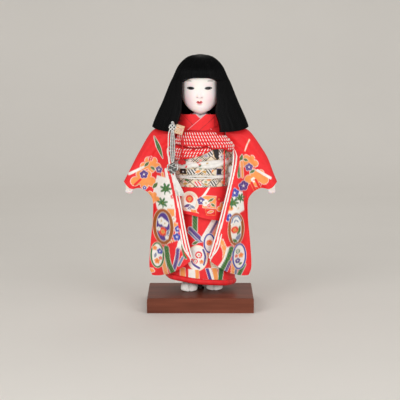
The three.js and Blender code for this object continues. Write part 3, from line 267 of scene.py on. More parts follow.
def piece(name, form, finish, dye=None, weld=0.0, sharp=50, fuse=0.0):
    """A finished mesh from a form in the doll's millimetres, faces outward, painted by dye."""
    points, faces = form
    mesh = bpy.data.meshes.new(name)
    places = (np.asarray(points).reshape(-1, 3) + RAISE) * 0.001
    mesh.from_pydata(places.tolist(), [], faces.tolist() if isinstance(faces, np.ndarray) else faces)
    if dye is not None:
        paint(mesh, dye)
    work = bmesh.new()
    work.from_mesh(mesh)
    if weld:
        bmesh.ops.remove_doubles(work, verts=work.verts, dist=weld * 0.001)
        bmesh.ops.dissolve_degenerate(work, edges=work.edges, dist=1e-7)
    bmesh.ops.recalc_face_normals(work, faces=work.faces)
    work.to_mesh(mesh)
    work.free()
    thing = bpy.data.objects.new(name, mesh)
    bpy.context.scene.collection.objects.link(thing)
    if fuse:
        remesh = thing.modifiers.new("fuse", "REMESH")
        remesh.mode, remesh.voxel_size = "VOXEL", fuse * 0.001
        soften = thing.modifiers.new("soften", "SMOOTH")
        soften.factor, soften.iterations = 0.5, 6
        settle(thing)
    thing.data.shade_smooth()
    thing.data.set_sharp_from_angle(angle=math.radians(sharp))
    thing.data.materials.clear()
    thing.data.materials.append(finish)
    return thing


def paint(mesh, dye):
    layer = mesh.color_attributes.new("dye", "FLOAT_COLOR", "POINT")
    rgba = np.ones((len(mesh.vertices), 4), np.float32)
    rgba[:, :3] = dye
    layer.data.foreach_set("color", rgba.ravel())


def settle(thing):
    """Turns what the modifiers make into the object's own plain mesh."""
    graph = bpy.context.evaluated_depsgraph_get()
    graph.update()
    made = bpy.data.meshes.new_from_object(thing.evaluated_get(graph), depsgraph=graph)
    thing.modifiers.clear()
    old, thing.data = thing.data, made
    name = old.name
    bpy.data.meshes.remove(old)
    made.name = name


def dress(thing, body, *nodes, slot=None):
    """The piece rides on a body and stands for the named nodes."""
    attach(thing, body)
    if nodes:
        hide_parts(*nodes)
    return thing


# Finishes

class Finish:
    """A node material while it is put together."""

    def __init__(self, name, **sockets):
        self.material = bpy.data.materials.new(name)
        self.material.use_nodes = True
        self.nodes = self.material.node_tree.nodes
        self.shader = self.nodes["Principled BSDF"]
        for key, value in sockets.items():
            self.shader.inputs[SOCKETS[key]].default_value = value

    def add(self, kind, inputs=None, **values):
        node = self.nodes.new("ShaderNode" + kind)
        for key, value in values.items():
            setattr(node, key, value)
        for key, value in (inputs or {}).items():
            if isinstance(value, bpy.types.NodeSocket):
                self.material.node_tree.links.new(value, node.inputs[key])
            else:
                node.inputs[key].default_value = value
        return node

    def link(self, socket, name):
        self.material.node_tree.links.new(socket, self.shader.inputs[name])

    def blend(self, factor, one, two, how="MIX"):
        node = self.add("Mix", {0: factor, 6: one, 7: two}, data_type="RGBA", blend_type=how)
        return node.outputs[2]

    def noise(self, scale, detail=3.0, stretch=None):
        place = self.add("TexCoord").outputs["Object"]
        if stretch:
            place = self.add("Mapping", {"Vector": place, "Scale": stretch}).outputs[0]
        return self.add("TexNoise", {"Vector": place, "Scale": scale, "Detail": detail}).outputs["Fac"]

    def range(self, value, low, high, start=0.25, stop=0.75):
        return self.add("MapRange", {0: value, 1: start, 2: stop, 3: low, 4: high}).outputs[0]

    def bump(self, height, strength, depth):
        node = self.add("Bump", {"Height": height, "Strength": strength, "Distance": depth})
        self.link(node.outputs[0], "Normal")


SOCKETS = {"rough": "Roughness", "sheen": "Sheen Weight", "sheen_rough": "Sheen Roughness", "coat": "Coat Weight",
           "coat_rough": "Coat Roughness", "metal": "Metallic", "soft": "Subsurface Weight",
           "soft_scale": "Subsurface Scale", "spec": "Specular IOR Level", "drawn": "Anisotropic",
           "colour": "Base Color"}
made_finishes = {}


def finish(kind):
    """The material of that name, made when it is first asked for."""
    if kind not in made_finishes:
        made_finishes[kind] = FINISHES[kind]()
    return made_finishes[kind]


def dyed_finish(name, mottle, grain, relief, weave=0.0, **sockets):
    """Cloth or paint that takes its colour from the dye laid on its points."""
    f = Finish(name, **sockets)
    dye = f.add("VertexColor", layer_name="dye").outputs[0]
    vary = f.range(f.noise(160), 1 - mottle, 1 + mottle * 0.6)
    f.link(f.blend(1.0, dye, vary, "MULTIPLY"), "Base Color")
    height = f.noise(grain, 2.0)
    if weave:
        place = f.add("TexCoord").outputs["Object"]
        waves = [f.add("TexWave", {"Vector": place, "Scale": weave, "Distortion": 0.6}, bands_direction=way)
                 .outputs["Fac"] for way in ("X", "Z")]
        crossed = f.add("Math", {0: waves[0], 1: waves[1]}, operation="MULTIPLY").outputs[0]
        height = f.add("Math", {0: crossed, 1: height}, operation="ADD").outputs[0]
    f.bump(height, relief, 0.0004)
    return f.material


def hair_finish():
    f = Finish("black_hair", rough=0.5, spec=0.09, drawn=0.5)
    streak = f.range(f.noise(420, 4.0, (1, 1, 0.04)), 0.45, 1.6)
    f.link(f.blend(1.0, (*tint("hair"), 1), streak, "MULTIPLY"), "Base Color")
    f.bump(f.noise(900, 2.0, (1, 1, 0.03)), 0.3, 0.0005)
    return f.material


def lacquer_finish():
    f = Finish("brown_lacquer", rough=0.4, coat=0.05, coat_rough=0.2, spec=0.06)
    grain = f.noise(26, 6.0, (0.5, 5, 9))
    ring = f.noise(9, 3.0, (0.6, 3, 5))
    dark, light = tint("lacquer") * 0.62, tint("lacquer") * 1.35
    base = f.blend(f.range(ring, 0, 1), (*dark, 1), (*light, 1))
    f.link(f.blend(0.35, base, f.range(grain, 0.5, 1.3), "MULTIPLY"), "Base Color")
    f.bump(grain, 0.06, 0.0004)
    return f.material


def metal_finish():
    f = Finish("blackened_steel", metal=1.0, rough=0.45)
    drawn = f.noise(300, 3.0, (1, 1, 0.05))
    f.link(f.blend(f.range(drawn, 0, 1), (0.05, 0.045, 0.042, 1), (0.1, 0.092, 0.086, 1)), "Base Color")
    f.bump(drawn, 0.1, 0.0002)
    return f.material


def wood_finish():
    f = Finish("paulownia_wood", rough=0.62)
    grain = f.noise(60, 5.0, (3, 3, 0.25))
    f.link(f.blend(f.range(grain, 0, 1), (0.50, 0.33, 0.18, 1), (0.66, 0.48, 0.29, 1)), "Base Color")
    f.bump(grain, 0.15, 0.0005)
    return f.material


def eye_finish():
    f = Finish("glass_eye", rough=0.3, spec=0.2, coat=0.35, coat_rough=0.04)
    dye = f.add("VertexColor", layer_name="dye").outputs[0]
    f.link(f.blend(1.0, dye, f.range(f.noise(2500), 0.85, 1.1), "MULTIPLY"), "Base Color")
    return f.material


FINISHES = {
    "crepe": lambda: dyed_finish("dyed_crepe", 0.07, 1500, 0.35, rough=0.62, sheen=0.12, sheen_rough=0.4),
    "silk": lambda: dyed_finish("white_silk", 0.05, 1200, 0.3, 260, rough=0.5, sheen=0.15, sheen_rough=0.4),
    "brocade": lambda: dyed_finish("woven_brocade", 0.1, 800, 0.5, 230, rough=0.46, sheen=0.1, sheen_rough=0.3),
    "braid": lambda: dyed_finish("braided_cord", 0.1, 900, 0.5, 330, rough=0.42, sheen=0.15, sheen_rough=0.3),
    "silver": lambda: dyed_finish("silver_thread", 0.25, 700, 0.6, 300, rough=0.38, metal=0.35),
    "gofun": lambda: dyed_finish("shell_white", 0.012, 500, 0.03, rough=0.4, soft=0.3, soft_scale=0.01,
                                 coat=0.12, coat_rough=0.3),
    "cotton": lambda: dyed_finish("white_cotton", 0.05, 900, 0.3, 300, rough=0.78, sheen=0.1, sheen_rough=0.5),
    "hair": hair_finish, "lacquer": lacquer_finish, "steel": metal_finish, "wood": wood_finish,
    "eye": eye_finish,
}


# Dyeing

class Dyer:
    """Lays colours on points of cloth, one over another, in the plane of its front."""

    def __init__(self, x, z, ground):
        self.x, self.z = np.ravel(x), np.ravel(z)
        self.colour = np.tile(tint(ground), (self.x.size, 1))

    def lay(self, cover, name):
        self.colour += (tint(name) - self.colour) * np.clip(cover, 0, 1)[:, None]

    def edge(self, inside, soft=0.6):
        return np.clip(inside / soft + 0.5, 0, 1)

    def local(self, at, turn=0.0):
        dx, dz = self.x - at[0], self.z - at[1]
        c, s = math.cos(turn), math.sin(turn)
        return dx * c + dz * s, dz * c - dx * s

    def oval(self, at, half, name, turn=0.0):
        dx, dz = self.local(at, turn)
        self.lay(self.edge((1 - np.hypot(dx / half[0], dz / half[1])) * min(half)), name)

    def medallion(self, at, half, ring, field, wide=4.2):
        for grow, name in ((0.6, "cream"), (0, ring), (-wide, "cream"), (-wide - 0.9, field)):
            self.oval(at, (half[0] + grow, half[1] + grow), name)

    def plum(self, at, r, name, heart="gold"):
        dx, dz = self.local(at)
        petals = [np.hypot(dx - 0.56 * r * math.sin(k * FULL_TURN / 5), dz - 0.56 * r * math.cos(k * FULL_TURN / 5))
                  for k in range(5)]
        near = np.min(petals, axis=0)
        self.lay(self.edge(0.52 * r - near), "white")
        self.lay(self.edge(0.52 * r - 0.55 - near), name)
        turn = np.arctan2(dx, dz)
        reach = np.hypot(dx, dz)
        spoke = self.edge(0.35 - abs(np.sin(2.5 * turn)) * reach) * self.edge(0.66 * r - reach)
        self.lay(spoke * 0.8, heart)
        self.lay(self.edge(0.2 * r - reach), heart)

    def mum(self, at, r, name, line="white", petals=14):
        dx, dz = self.local(at)
        reach, turn = np.hypot(dx, dz), np.arctan2(dx, dz)
        rim = r * (0.93 + 0.07 * np.cos(petals * turn))
        self.lay(self.edge(rim - reach), line)
        petal = self.edge(rim - 0.6 - reach) * self.edge(abs(np.sin(petals * turn / 2)) * reach - 0.42)
        self.lay(petal, name)
        inner = self.edge(0.5 * r - reach) * self.edge(abs(np.cos(petals * turn / 2)) * reach - 0.4)
        self.lay(inner, line)
        self.oval(at, (0.2 * r, 0.2 * r), "gold")

    def maple(self, at, r, name, turn=0.0):
        dx, dz = self.local(at, turn)
        reach, bearing = np.hypot(dx, dz), np.arctan2(dx, dz)
        lobe = abs(np.cos(3.5 * bearing)) ** 1.3 * np.where(abs(bearing) > 2.7, 0.2, 1)
        rim = r * (0.4 + 0.6 * lobe)
        self.lay(self.edge(rim - reach), name)
        vein = self.edge(0.25 - abs(np.sin(3.5 * bearing)) * reach) * self.edge(0.8 * rim - reach)
        self.lay(vein * 0.7, "gold")

    def leaf(self, at, length, wide, name, turn=0.0):
        dx, dz = self.local(at, turn)
        along = np.clip(abs(dx) / (length / 2), 0, 1)
        inside = wide / 2 * (1 - along ** 1.7) - abs(dz)
        inside = np.where(abs(dx) > length / 2, -1, inside)
        self.lay(self.edge(inside + 0.7), "white")
        self.lay(self.edge(inside), name)
        self.lay(self.edge(0.2 - abs(dz)) * self.edge(inside - 0.4) * 0.7, "gold")

    def ribbon(self, points, width, name, line="white"):
        path = through(points, np.linspace(0, 1, 24)) if len(points) > 2 else np.array(points, float)
        away = np.full(self.x.shape, 1e9)
        for a, b in zip(path[:-1], path[1:]):
            d = b - a
            t = np.clip(((self.x - a[0]) * d[0] + (self.z - a[1]) * d[1]) / (d @ d), 0, 1)
            away = np.minimum(away, np.hypot(self.x - a[0] - t * d[0], self.z - a[1] - t * d[1]))
        self.lay(self.edge(width / 2 + 0.6 - away), line)
        self.lay(self.edge(width / 2 - away), name)
        if width > 4:
            woven = self.edge(0.3 - abs((self.x + 0.8 * self.z) % 4.6 - 2.3), 0.5) * self.edge(width / 2 - 1.1 - away)
            self.lay(0.5 * woven, "gold" if name != "orange" else "cream")
            self.lay(0.4 * self.edge(0.25 - abs(width / 2 - 1.0 - away), 0.4), "cream")

    def cloud(self, at, r, name):
        away = np.full(self.x.shape, 1e9)
        for dx, dz, share in ((0, 0, 1), (-0.9, -0.25, 0.7), (0.9, -0.3, 0.72), (-0.35, 0.55, 0.6), (0.5, 0.5, 0.55),
                              (0.1, -0.7, 0.6)):
            away = np.minimum(away, np.hypot(self.x - at[0] - dx * r, self.z - at[1] - dz * r) - 0.72 * share * r)
        self.lay(self.edge(0.7 - away), "white")
        self.lay(self.edge(-away), name)

    def patch(self, corners, name, line="white"):
        inside = np.full(self.x.shape, 1e9)
        middle = np.mean(corners, axis=0)
        for a, b in zip(corners, corners[1:] + corners[:1]):
            nx, nz = b[1] - a[1], a[0] - b[0]
            size = math.hypot(nx, nz)
            way = 1 if (middle[0] - a[0]) * nx + (middle[1] - a[1]) * nz > 0 else -1
            inside = np.minimum(inside, way * ((self.x - a[0]) * nx + (self.z - a[1]) * nz) / size)
        self.lay(self.edge(inside + 0.6), line)
        self.lay(self.edge(inside), name)

    def dots(self, at, half, pitch, r, name):
        dx, dz = self.local(at)
        kept = self.edge((1 - np.hypot(dx / half[0], dz / half[1])) * min(half))
        row = np.round(dz / pitch)
        sx = (dx / pitch + 0.5 * (row % 2) + 0.5) % 1 - 0.5
        self.lay(kept * self.edge(r - np.hypot(sx * pitch, dz - row * pitch)), name)

    def bars(self, at, half, name, step=3.2):
        dx, dz = self.local(at)
        kept = self.edge(np.minimum(half[0] - abs(dx), half[1] - abs(dz)))
        self.lay(kept, "white")
        self.lay(kept * self.edge(0.25 * step - abs(((dx + 0.7 * dz) / step) % 1 - 0.5) * step, 0.4), name)

    def motifs(self, rows):
        for kind, *facts in rows:
            getattr(self, kind)(*facts)
        return self.colour


RIGHT_SLEEVE = (
    ("leaf", (-74, 257), 43, 6.5, "green", -1.19),
    ("cloud", (-88, 226), 13, "orange"), ("cloud", (-101, 200), 16, "orange"),
    ("leaf", (-95, 226), 12, 5, "green", 0.8), ("leaf", (-84, 219), 11, 5, "green", -0.6),
    ("plum", (-100, 208), 7.5, "purple", "white"), ("plum", (-73, 218), 6, "purple", "white"),
    ("plum", (-99, 184), 4, "blue", "white"), ("plum", (-88, 236), 4.5, "red", "white"),
    ("ribbon", [(-126, 209), (-101, 221)], 3.4, "white"), ("ribbon", [(-116, 190), (-106, 199)], 4, "red", "orange"),
    ("ribbon", [(-67, 212), (-64.5, 201)], 4, "orange"), ("ribbon", [(-60.5, 219), (-57.5, 199)], 4, "white"), ("ribbon", [(-54.5, 213), (-52, 198)], 3.6, "green"),
    ("patch", [(-76, 207), (-45, 202), (-44, 138), (-76, 148), (-83, 178)], "white"),
    ("cloud", (-86, 168), 10, "orange"), ("leaf", (-80, 189), 15, 6, "green", 0.9),
    ("maple", (-60.5, 185), 11, "green", 0.3), ("maple", (-67, 160), 10, "green", -0.4),
    ("patch", [(-59, 150), (-46, 152), (-45, 128), (-56, 132)], "orange"), ("plum", (-50, 156), 5.5, "white", "gold"),
    ("plum", (-49, 172), 4, "red", "white"), ("cloud", (-42, 119), 8, "orange"), ("plum", (-47, 133), 4.5, "white"),
    ("plum", (-39.5, 116), 6, "blue", "white"),
    ("ribbon", [(-33, 93), (-28, 80), (-25, 68)], 9, "green"), ("ribbon", [(-36, 92), (-41, 69), (-46, 46)], 6, "white"),
    ("ribbon", [(-39.5, 80), (-42, 60), (-49, 38)], 6.5, "purple"), ("ribbon", [(-31, 66), (-38, 52)], 4, "slate"),
    ("ribbon", [(-60, 80), (-56.4, 55), (-48, 36)], 9, "green"), ("ribbon", [(-67, 58), (-60, 31)], 7.5, "orange"),
    ("ribbon", [(-54, 92), (-40, 99)], 2.6, "orange"), ("plum", (-41.3, 102), 7, "blue", "white"),
    ("medallion", (-65.8, 117.4), (18.6, 32), "brown", "purple", 5.8),
    ("plum", (-68.6, 127), 6.6, "white"), ("plum", (-62.4, 123.5), 6, "white"), ("mum", (-66.4, 108.5), 8.4, "red", "orange"),
    ("plum", (-74, 112.5), 3.6, "white"), ("leaf", (-57.5, 108), 12, 4, "slate", 1.2), ("plum", (-59, 99), 3.4, "white"),
    ("medallion", (-76.5, 64.7), (12.4, 23), "green", "white", 2.8),
    ("plum", (-72, 72), 5.5, "blue", "white"), ("plum", (-81, 77), 4.6, "orange", "red"),
    ("leaf", (-80, 64), 10, 4.5, "slate", 1.3), ("plum", (-77, 54), 5.5, "orange", "red"), ("plum", (-71, 60), 3.6, "red"),
    ("cloud", (-87, 37), 4, "orange"),
)
LEFT_SLEEVE = (
    ("leaf", (71.7, 236), 18, 6, "green", 1.3), ("cloud", (85, 231), 12, "orange"), ("cloud", (99, 203), 15, "orange"),
    ("plum", (86, 221), 7, "purple", "white"), ("leaf", (92, 213), 12, 5, "green", 0.5),
    ("leaf", (80, 234), 10, 4.5, "green", -0.4), ("plum", (94, 198), 4.5, "white"),
    ("plum", (104, 190), 4.5, "red", "white"), ("ribbon", [(86.6, 270), (82, 260), (78.7, 250)], 1.5, "white", "orange"),
    ("ribbon", [(101, 215), (124, 202)], 3.4, "white"), ("ribbon", [(98, 198), (106, 181)], 4, "red", "orange"),
    ("ribbon", [(90.5, 193), (98, 178)], 4, "red", "orange"), ("ribbon", [(73, 231), (74.5, 205)], 3.8, "orange"), ("ribbon", [(66.5, 228), (68, 206)], 4.6, "green"),
    ("plum", (76, 189), 9, "purple", "white"),
    ("patch", [(48, 188), (74, 178), (77, 146), (62, 138), (50, 140)], "white"),
    ("cloud", (47, 153), 7.5, "orange"), ("maple", (57.4, 160), 10.5, "green", 0.2), ("maple", (70, 168), 9, "green", -0.5),
    ("plum", (60.2, 178), 8, "blue", "white"), ("plum", (51, 135), 7, "blue", "white"), ("plum", (67, 150), 4.5, "white"),
    ("plum", (50, 170), 4, "red", "white"),
    ("ribbon", [(37, 94), (43.5, 76), (41.7, 58), (34, 45)], 8, "orange"),
    ("ribbon", [(48.8, 80), (42.6, 60), (31, 45)], 6, "white"), ("ribbon", [(54.5, 80), (48, 62), (36, 41)], 8.5, "green"),
    ("ribbon", [(59, 57), (57.5, 33)], 7.5, "orange"), ("ribbon", [(52, 56), (44, 39)], 5, "purple"),
    ("ribbon", [(77, 47), (68, 29)], 8, "green"), ("ribbon", [(64, 44), (62, 31)], 4, "slate"),
    ("medallion", (63, 113), (14.4, 29), "brown", "white", 4.8),
    ("ribbon", [(55, 124), (58, 134), (66, 136), (71, 128)], 2.4, "slate"), ("ribbon", [(58, 122), (62, 129), (67, 126)], 1.8, "slate"),
    ("leaf", (68, 110), 20, 6, "green", 1.3), ("leaf", (66.5, 98), 18, 7, "slate", 0.9), ("leaf", (61, 93), 12, 5, "green", -0.7),
    ("mum", (60.5, 112.5), 7.2, "red", "orange"), ("plum", (57.5, 122), 4, "white"),
    ("medallion", (68.8, 63.3), (12.8, 23.4), "blue", "white", 2.8),
    ("mum", (66, 73), 5, "green", "white"), ("plum", (72, 65), 5, "orange", "red"), ("plum", (66, 56), 5.2, "purple", "white"),
    ("leaf", (71, 50), 8, 4, "green", 0.4), ("plum", (63.5, 65), 3.4, "red"),
)
WAIST = (
    ("medallion", (-18.6, 162), (15.4, 18.6), "cream", "orange", 1.2),
    ("oval", (-18.6, 162), (13, 16.2), "white"), ("oval", (-18.6, 162), (11.9, 15), "orange"),
    ("oval", (-18.6, 162), (11.2, 14.2), "white"), ("mum", (-19, 168), 7.6, "red", "orange", 18),
    ("leaf", (-23, 156), 13, 5, "purple", 0.4), ("leaf", (-14, 154), 12, 4.5, "slate", -0.5), ("plum", (-19, 150.5), 3.8, "purple", "white"),
    ("patch", [(3, 174), (27.5, 172), (27, 151), (4, 153)], "orange"), ("plum", (1.1, 165), 6.8, "purple", "white"),
    ("plum", (9.8, 161), 6, "white"), ("leaf", (18.6, 166), 13, 4, "green", 0.5), ("leaf", (22, 157), 10, 4, "green", -0.7),
    ("plum", (15, 156), 3.6, "red", "white"), ("patch", [(15.5, 189), (17, 188), (8, 174), (2.5, 172)], "white"),
    ("mum", (32.6, 166.7), 5.6, "crimson", "red"), ("patch", [(9, 150), (27, 149), (26, 139), (11, 140)], "red", "orange"),
    ("leaf", (18, 145), 12, 4, "orange", 0.2), ("cloud", (-13, 143), 7, "orange"), ("plum", (-21, 145), 4.5, "white"),
    ("leaf", (-40, 158), 16, 6, "green", 1.0), ("cloud", (42, 152), 9, "orange"), ("plum", (44, 158), 5, "purple", "white"),
    ("plum", (-62, 160), 6.5, "purple", "white"), ("plum", (64, 166), 5.5, "white"),
)
SKIRT = (
    ("ribbon", [(-9.5, 142), (-9.5, 112)], 9, "green"), ("ribbon", [(-18, 114), (1.5, 95)], 7.5, "purple"),
    ("ribbon", [(-20, 108), (-3, 92)], 3.4, "slate"), ("ribbon", [(24, 128), (4.6, 97)], 7, "white"),
    ("ribbon", [(29, 126), (11, 95)], 4.4, "purple"), ("ribbon", [(36, 124), (20, 96)], 5, "orange"),
    ("leaf", (-9, 90), 13, 5, "green", 0.5), ("medallion", (15.8, 89), (10.4, 17), "blue", "white", 2.6),
    ("mum", (15.8, 90), 5.6, "orange", "red"), ("medallion", (-5.3, 63.4), (17.6, 22), "cream", "white", 1.4),
    ("ribbon", [(-18, 72), (-13, 54), (-2, 46)], 3.6, "purple"), ("ribbon", [(5, 78), (8.5, 66), (6, 52)], 3.2, "purple"),
    ("mum", (-3, 69), 7.4, "red"), ("mum", (-9, 58), 5.4, "red"), ("plum", (2, 57), 4.2, "orange", "red"),
    ("patch", [(14, 70), (30, 63), (40, 42), (20, 44)], "cream", "gold"), ("dots", (26, 55), (12, 14), 3.4, 0.7, "gold"),
    ("patch", [(-36, 45), (-27, 45), (-26, 18), (-35, 18)], "orange"), ("patch", [(-21, 43), (-10, 43), (-9, 18), (-20, 18)], "white"),
    ("patch", [(-9.5, 43), (-3, 43), (-2, 18), (-8, 18)], "orange"), ("patch", [(9, 45), (15, 45), (23, 18), (17, 18)], "purple"),
    ("patch", [(15, 45), (18, 45), (26, 18), (23, 18)], "white"), ("patch", [(20, 45), (29, 45), (33, 18), (26, 18)], "orange"),
    ("patch", [(33, 46), (42, 47), (38, 18), (31, 18)], "green"), ("medallion", (-47, 78), (12, 21), "brown", "purple"),
    ("plum", (-47, 84), 6, "white"), ("mum", (-47, 70), 6, "red"), ("medallion", (47, 72), (12, 20), "green", "white"),
    ("plum", (47, 78), 5.5, "blue", "white"), ("plum", (46, 66), 5, "orange", "red"), ("maple", (-38, 110), 10, "green", 0.4),
    ("cloud", (42, 112), 10, "orange"), ("plum", (42, 114), 5.5, "purple", "white"), ("maple", (-70, 52), 9, "green", 0.2),
    ("cloud", (-62, 108), 8, "orange"), ("plum", (-62, 109), 5, "white"), ("plum", (71, 48), 6.5, "purple", "white"),
    ("leaf", (63, 98), 14, 5, "green", 0.9), ("plum", (64, 88), 4.5, "white"),
)
SHOULDERS = (
    ("cloud", (-20, 276), 9, "orange"), ("plum", (-20, 277), 5.5, "purple", "white"), ("leaf", (-30, 270), 12, 5, "green", 0.6),
    ("cloud", (21, 268), 10, "orange"), ("mum", (21, 270), 5.6, "red"), ("leaf", (8, 272), 12, 5, "green", -0.7),
    ("plum", (2, 284), 4.5, "white"),
)


OBI = (
    ("patch", [(20.5, 256), (32, 256), (34, 239), (29, 235), (24, 241)], "black", "gold"), ("bars", (15.5, 247.5), (4.8, 4.6), "black", 5.2),
    ("bars", (37, 250), (4.2, 4.2), "black", 5.2), ("plum", (38.5, 241), 6, "white", "blue"), ("oval", (50, 249), (5, 3), "green"),
    ("leaf", (11, 250), 9, 3.6, "orange", 0.6), ("oval", (44, 246), (2.6, 2), "orange"),
    ("patch", [(-37, 211), (-36, 221), (-25, 221), (-23, 211)], "black", "gold"), ("oval", (-30, 215), (1.6, 1.2), "white"), ("bars", (-14.5, 215.5), (7.5, 4.2), "black", 5.2),
    ("leaf", (-4, 216), 11, 5, "orange", 0.4), ("leaf", (8, 215), 12, 5, "gold", -0.3), ("leaf", (19, 216), 10, 4.6, "orange", 0.5),
    ("patch", [(28, 210), (29, 220), (38, 219), (37, 210)], "black", "blue"), ("leaf", (47, 215), 10, 5, "gold", 0.3),
    ("bars", (-4, 194.5), (5.6, 4.2), "red", 5.2), ("bars", (22, 194.5), (6, 4.4), "black", 5.2), ("leaf", (-26, 194), 11, 5, "gold", 0.2),
    ("oval", (14, 201), (3.6, 1.8), "orange"), ("oval", (-23, 200.5), (4, 1.8), "green"), ("leaf", (43, 195), 12, 6, "orange", -0.3),
    ("leaf", (9, 193), 9, 4, "gold", -0.5), ("bars", (14, 215.5), (4.6, 4), "black", 5.2),
)


def brocade(x, z):
    """Obi cloth: cream diamonds between thin black lines, some of them gold, with small flowers."""
    d = Dyer(x, z, "cream")
    pitch = 11.5
    u, w = (d.x + 1.15 * d.z) / 1.52 / pitch, (d.x - 1.15 * d.z) / 1.52 / pitch
    pick = (np.floor(u) * 3 + np.floor(w) * 5) % 7
    for number, name, cover in ((1, "gold", 0.2), (4, "orange", 0.12), (6, "white", 0.7)):
        d.lay(cover * (pick == number), name)
    for across in (u, w):
        band = (across + 0.5) % 1 - 0.5
        d.lay(0.18 * d.edge(1.2 - abs(band * pitch)), "gold")
        d.lay(0.95 * d.edge(0.62 - abs(band * pitch), 0.45), "black")
        d.lay(0.85 * d.edge(0.4 - abs(abs(band * pitch) - 2.6), 0.4) * (pick % 3 == 0), "black")
    reach = np.hypot((u % 1 - 0.5), (w % 1 - 0.5)) * pitch
    turn = np.arctan2(u % 1 - 0.5, w % 1 - 0.5)
    for number, name in ((0, "red"), (2, "green"), (3, "blue"), (5, "orange")):
        flower = d.edge(2.0 + 0.5 * np.cos(5 * turn) - reach) * (pick == number)
        d.lay(0.85 * flower, name)
        d.lay(d.edge(0.6 - reach) * (pick == number), "white")
    return d


# The doll's clothes by height: half width and half depth of the body under them
body = profile([(158, 36, 27), (188, 40, 31), (245, 40, 31), (272, 40, 28), (284, 39.4, 25), (290, 37.2, 24),
                (296, 33, 22.5), (302, 33, 22.5)])
WAIST_WIDE, WAIST_DEEP = 40.0, 31.0
OBI_LOW, OBI_TOP, OBI_OUT = 188.0, 257.0, 10.2
SKIRT_TOP, HEM = 181.6, 27.0
ARMHOLE, SHOULDER = 44.8, 272.0
CHIN, HEAD_HIGH, HAIR_TOP = 319.0, 93.0, 420.0


def turned(angle):
    return np.arccos(np.clip(np.cos(angle), -1, 1))


def unrolled(x, angle):
    """Width along cloth that goes round the body: as seen from the front, then along its sides."""
    aside = np.minimum(turned(angle), HALF_TURN - turned(angle))
    return np.where(aside < 0.75, x, x * (math.sin(0.75) + 0.8 * (aside - 0.75)) / np.maximum(0.1, np.sin(aside)))


SCARF_EDGES = profile([
    (-3.15, 256, 249), (-2.1, 256, 249), (-1.5, 256, 246), (-1.27, 257, 240), (-1.1, 269, 237), (-0.9, 278.9, 235.3),
    (-0.55, 283.8, 237.3), (-0.3, 285.4, 239.8), (0.05, 285.8, 245.3), (0.32, 285, 252.4), (0.54, 283.2, 255.4),
    (0.73, 281.2, 255.2), (0.97, 277.4, 253.4), (1.15, 273, 250), (1.25, 268.5, 248), (1.36, 257, 247.4), (1.5, 256, 248),
    (2.1, 256, 249), (3.15, 256, 249)])


def signed(angle):
    return (np.asarray(angle) + HALF_TURN) % FULL_TURN - HALF_TURN


def scarf_top(angle):
    return SCARF_EDGES(signed(angle))


def scarf_foot(angle):
    return SCARF_EDGES(signed(angle), 1)


def scarf_crease(angle):
    """Share of its height at which the scarf's two rolls meet; below 0 it has only one."""
    s = np.sin(angle)
    return np.where(s < 0, 0.33 - 0.05 * s + 0.41 * s * s, 0.33 - 0.13 * s - 1.3 * np.maximum(0, s - 0.2))


def scarf(angle, v, lift=0.0):
    """The outside of the scarf over the obi, in two soft rolls."""
    z = mix(scarf_foot(angle), scarf_top(angle), v)
    end = smooth(signed(angle), 0.45, 1.15) * smooth(1.6 - signed(angle), 0, 0.25)
    out = mix(8, 2.6, smooth(turned(angle), 0.7, 1.5)) + 2.5 * end
    sunk = smooth(z, 261, 271)
    roll = 1 - 0.88 * hump(v - scarf_crease(angle), 0.075) * (np.cos(angle) > 0)
    puff = 1.4 + out * roll * np.sin(HALF_TURN * (0.06 + 0.88 * v)) ** 0.45 + lift
    inside = mix(10.6, 5.8, sunk)
    wide, deep = (mix(waist, body(z, k), sunk) + inside + puff for k, waist in ((0, WAIST_WIDE), (1, WAIST_DEEP)))
    place = oval(angle, wide, deep, deep, z)
    place[..., 0] += 3.5 * end
    place[..., 1] -= 8 * end * smooth(z, 244, 268)
    return place


def skirt_out(z):
    return mix(-0.6, 18, smooth(SKIRT_TOP - z, 0, SKIRT_TOP - HEM))


def skirt(angle, v, off):
    low = HEM - 0.11 * 58 * np.sin(angle)
    z = mix(SKIRT_TOP, low, v)
    fold = 1.1 * v * np.cos(7 * angle + 0.6) + 0.7 * v * np.cos(3 * angle)
    grow = skirt_out(z) + off + fold
    deep = WAIST_DEEP + grow * 0.85
    return oval(angle, WAIST_WIDE + grow, deep, deep, z)


def face_ring():
    width = 34.5
    rows = [(-.028, .12, .74, -.45), (.004, .32, .94, -.1), (.036, .49, 1.02, .1), (.1, .69, 1.1, .42), (.165, .825, 1.13, .66),
            (.227, .9, 1.15, .8), (.3, .955, 1.16, .93), (.41, .98, 1.14, 1.04), (.5, 1, 1.11, 1.1), (.66, .99, 1.1, 1.1), (.82, .83, .94, .96), (.93, .56, .66, .68),
            (.985, .26, .32, .32), (1, .08, .1, .1)]
    return profile([(h, a * width, b * width, c * width) for h, a, b, c in rows])


face = face_ring()
hair_rows = profile([(-135, 86, 46, 62), (-127, 85, 46, 62), (-102, 75, 43, 60), (-87, 68, 41, 58), (-65, 59, 40, 54),
                     (-49, 52.5, 42, 50), (-39, 47.5, 43.5, 48), (-31, 44, 43.5, 46), (-20.5, 38.5, 39, 41),
                     (-10, 29, 29.5, 31), (-3, 17, 17.5, 18), (0, 3, 3, 3)])


def hair_at(angle, drop, off):
    grow = 1 - off / hair_rows(drop)
    return oval(angle, hair_rows(drop) * grow, hair_rows(drop, 1) - off, hair_rows(drop, 2) - off, HAIR_TOP + drop)


# Geometry Nodes: strands along lines, and small shapes set on points

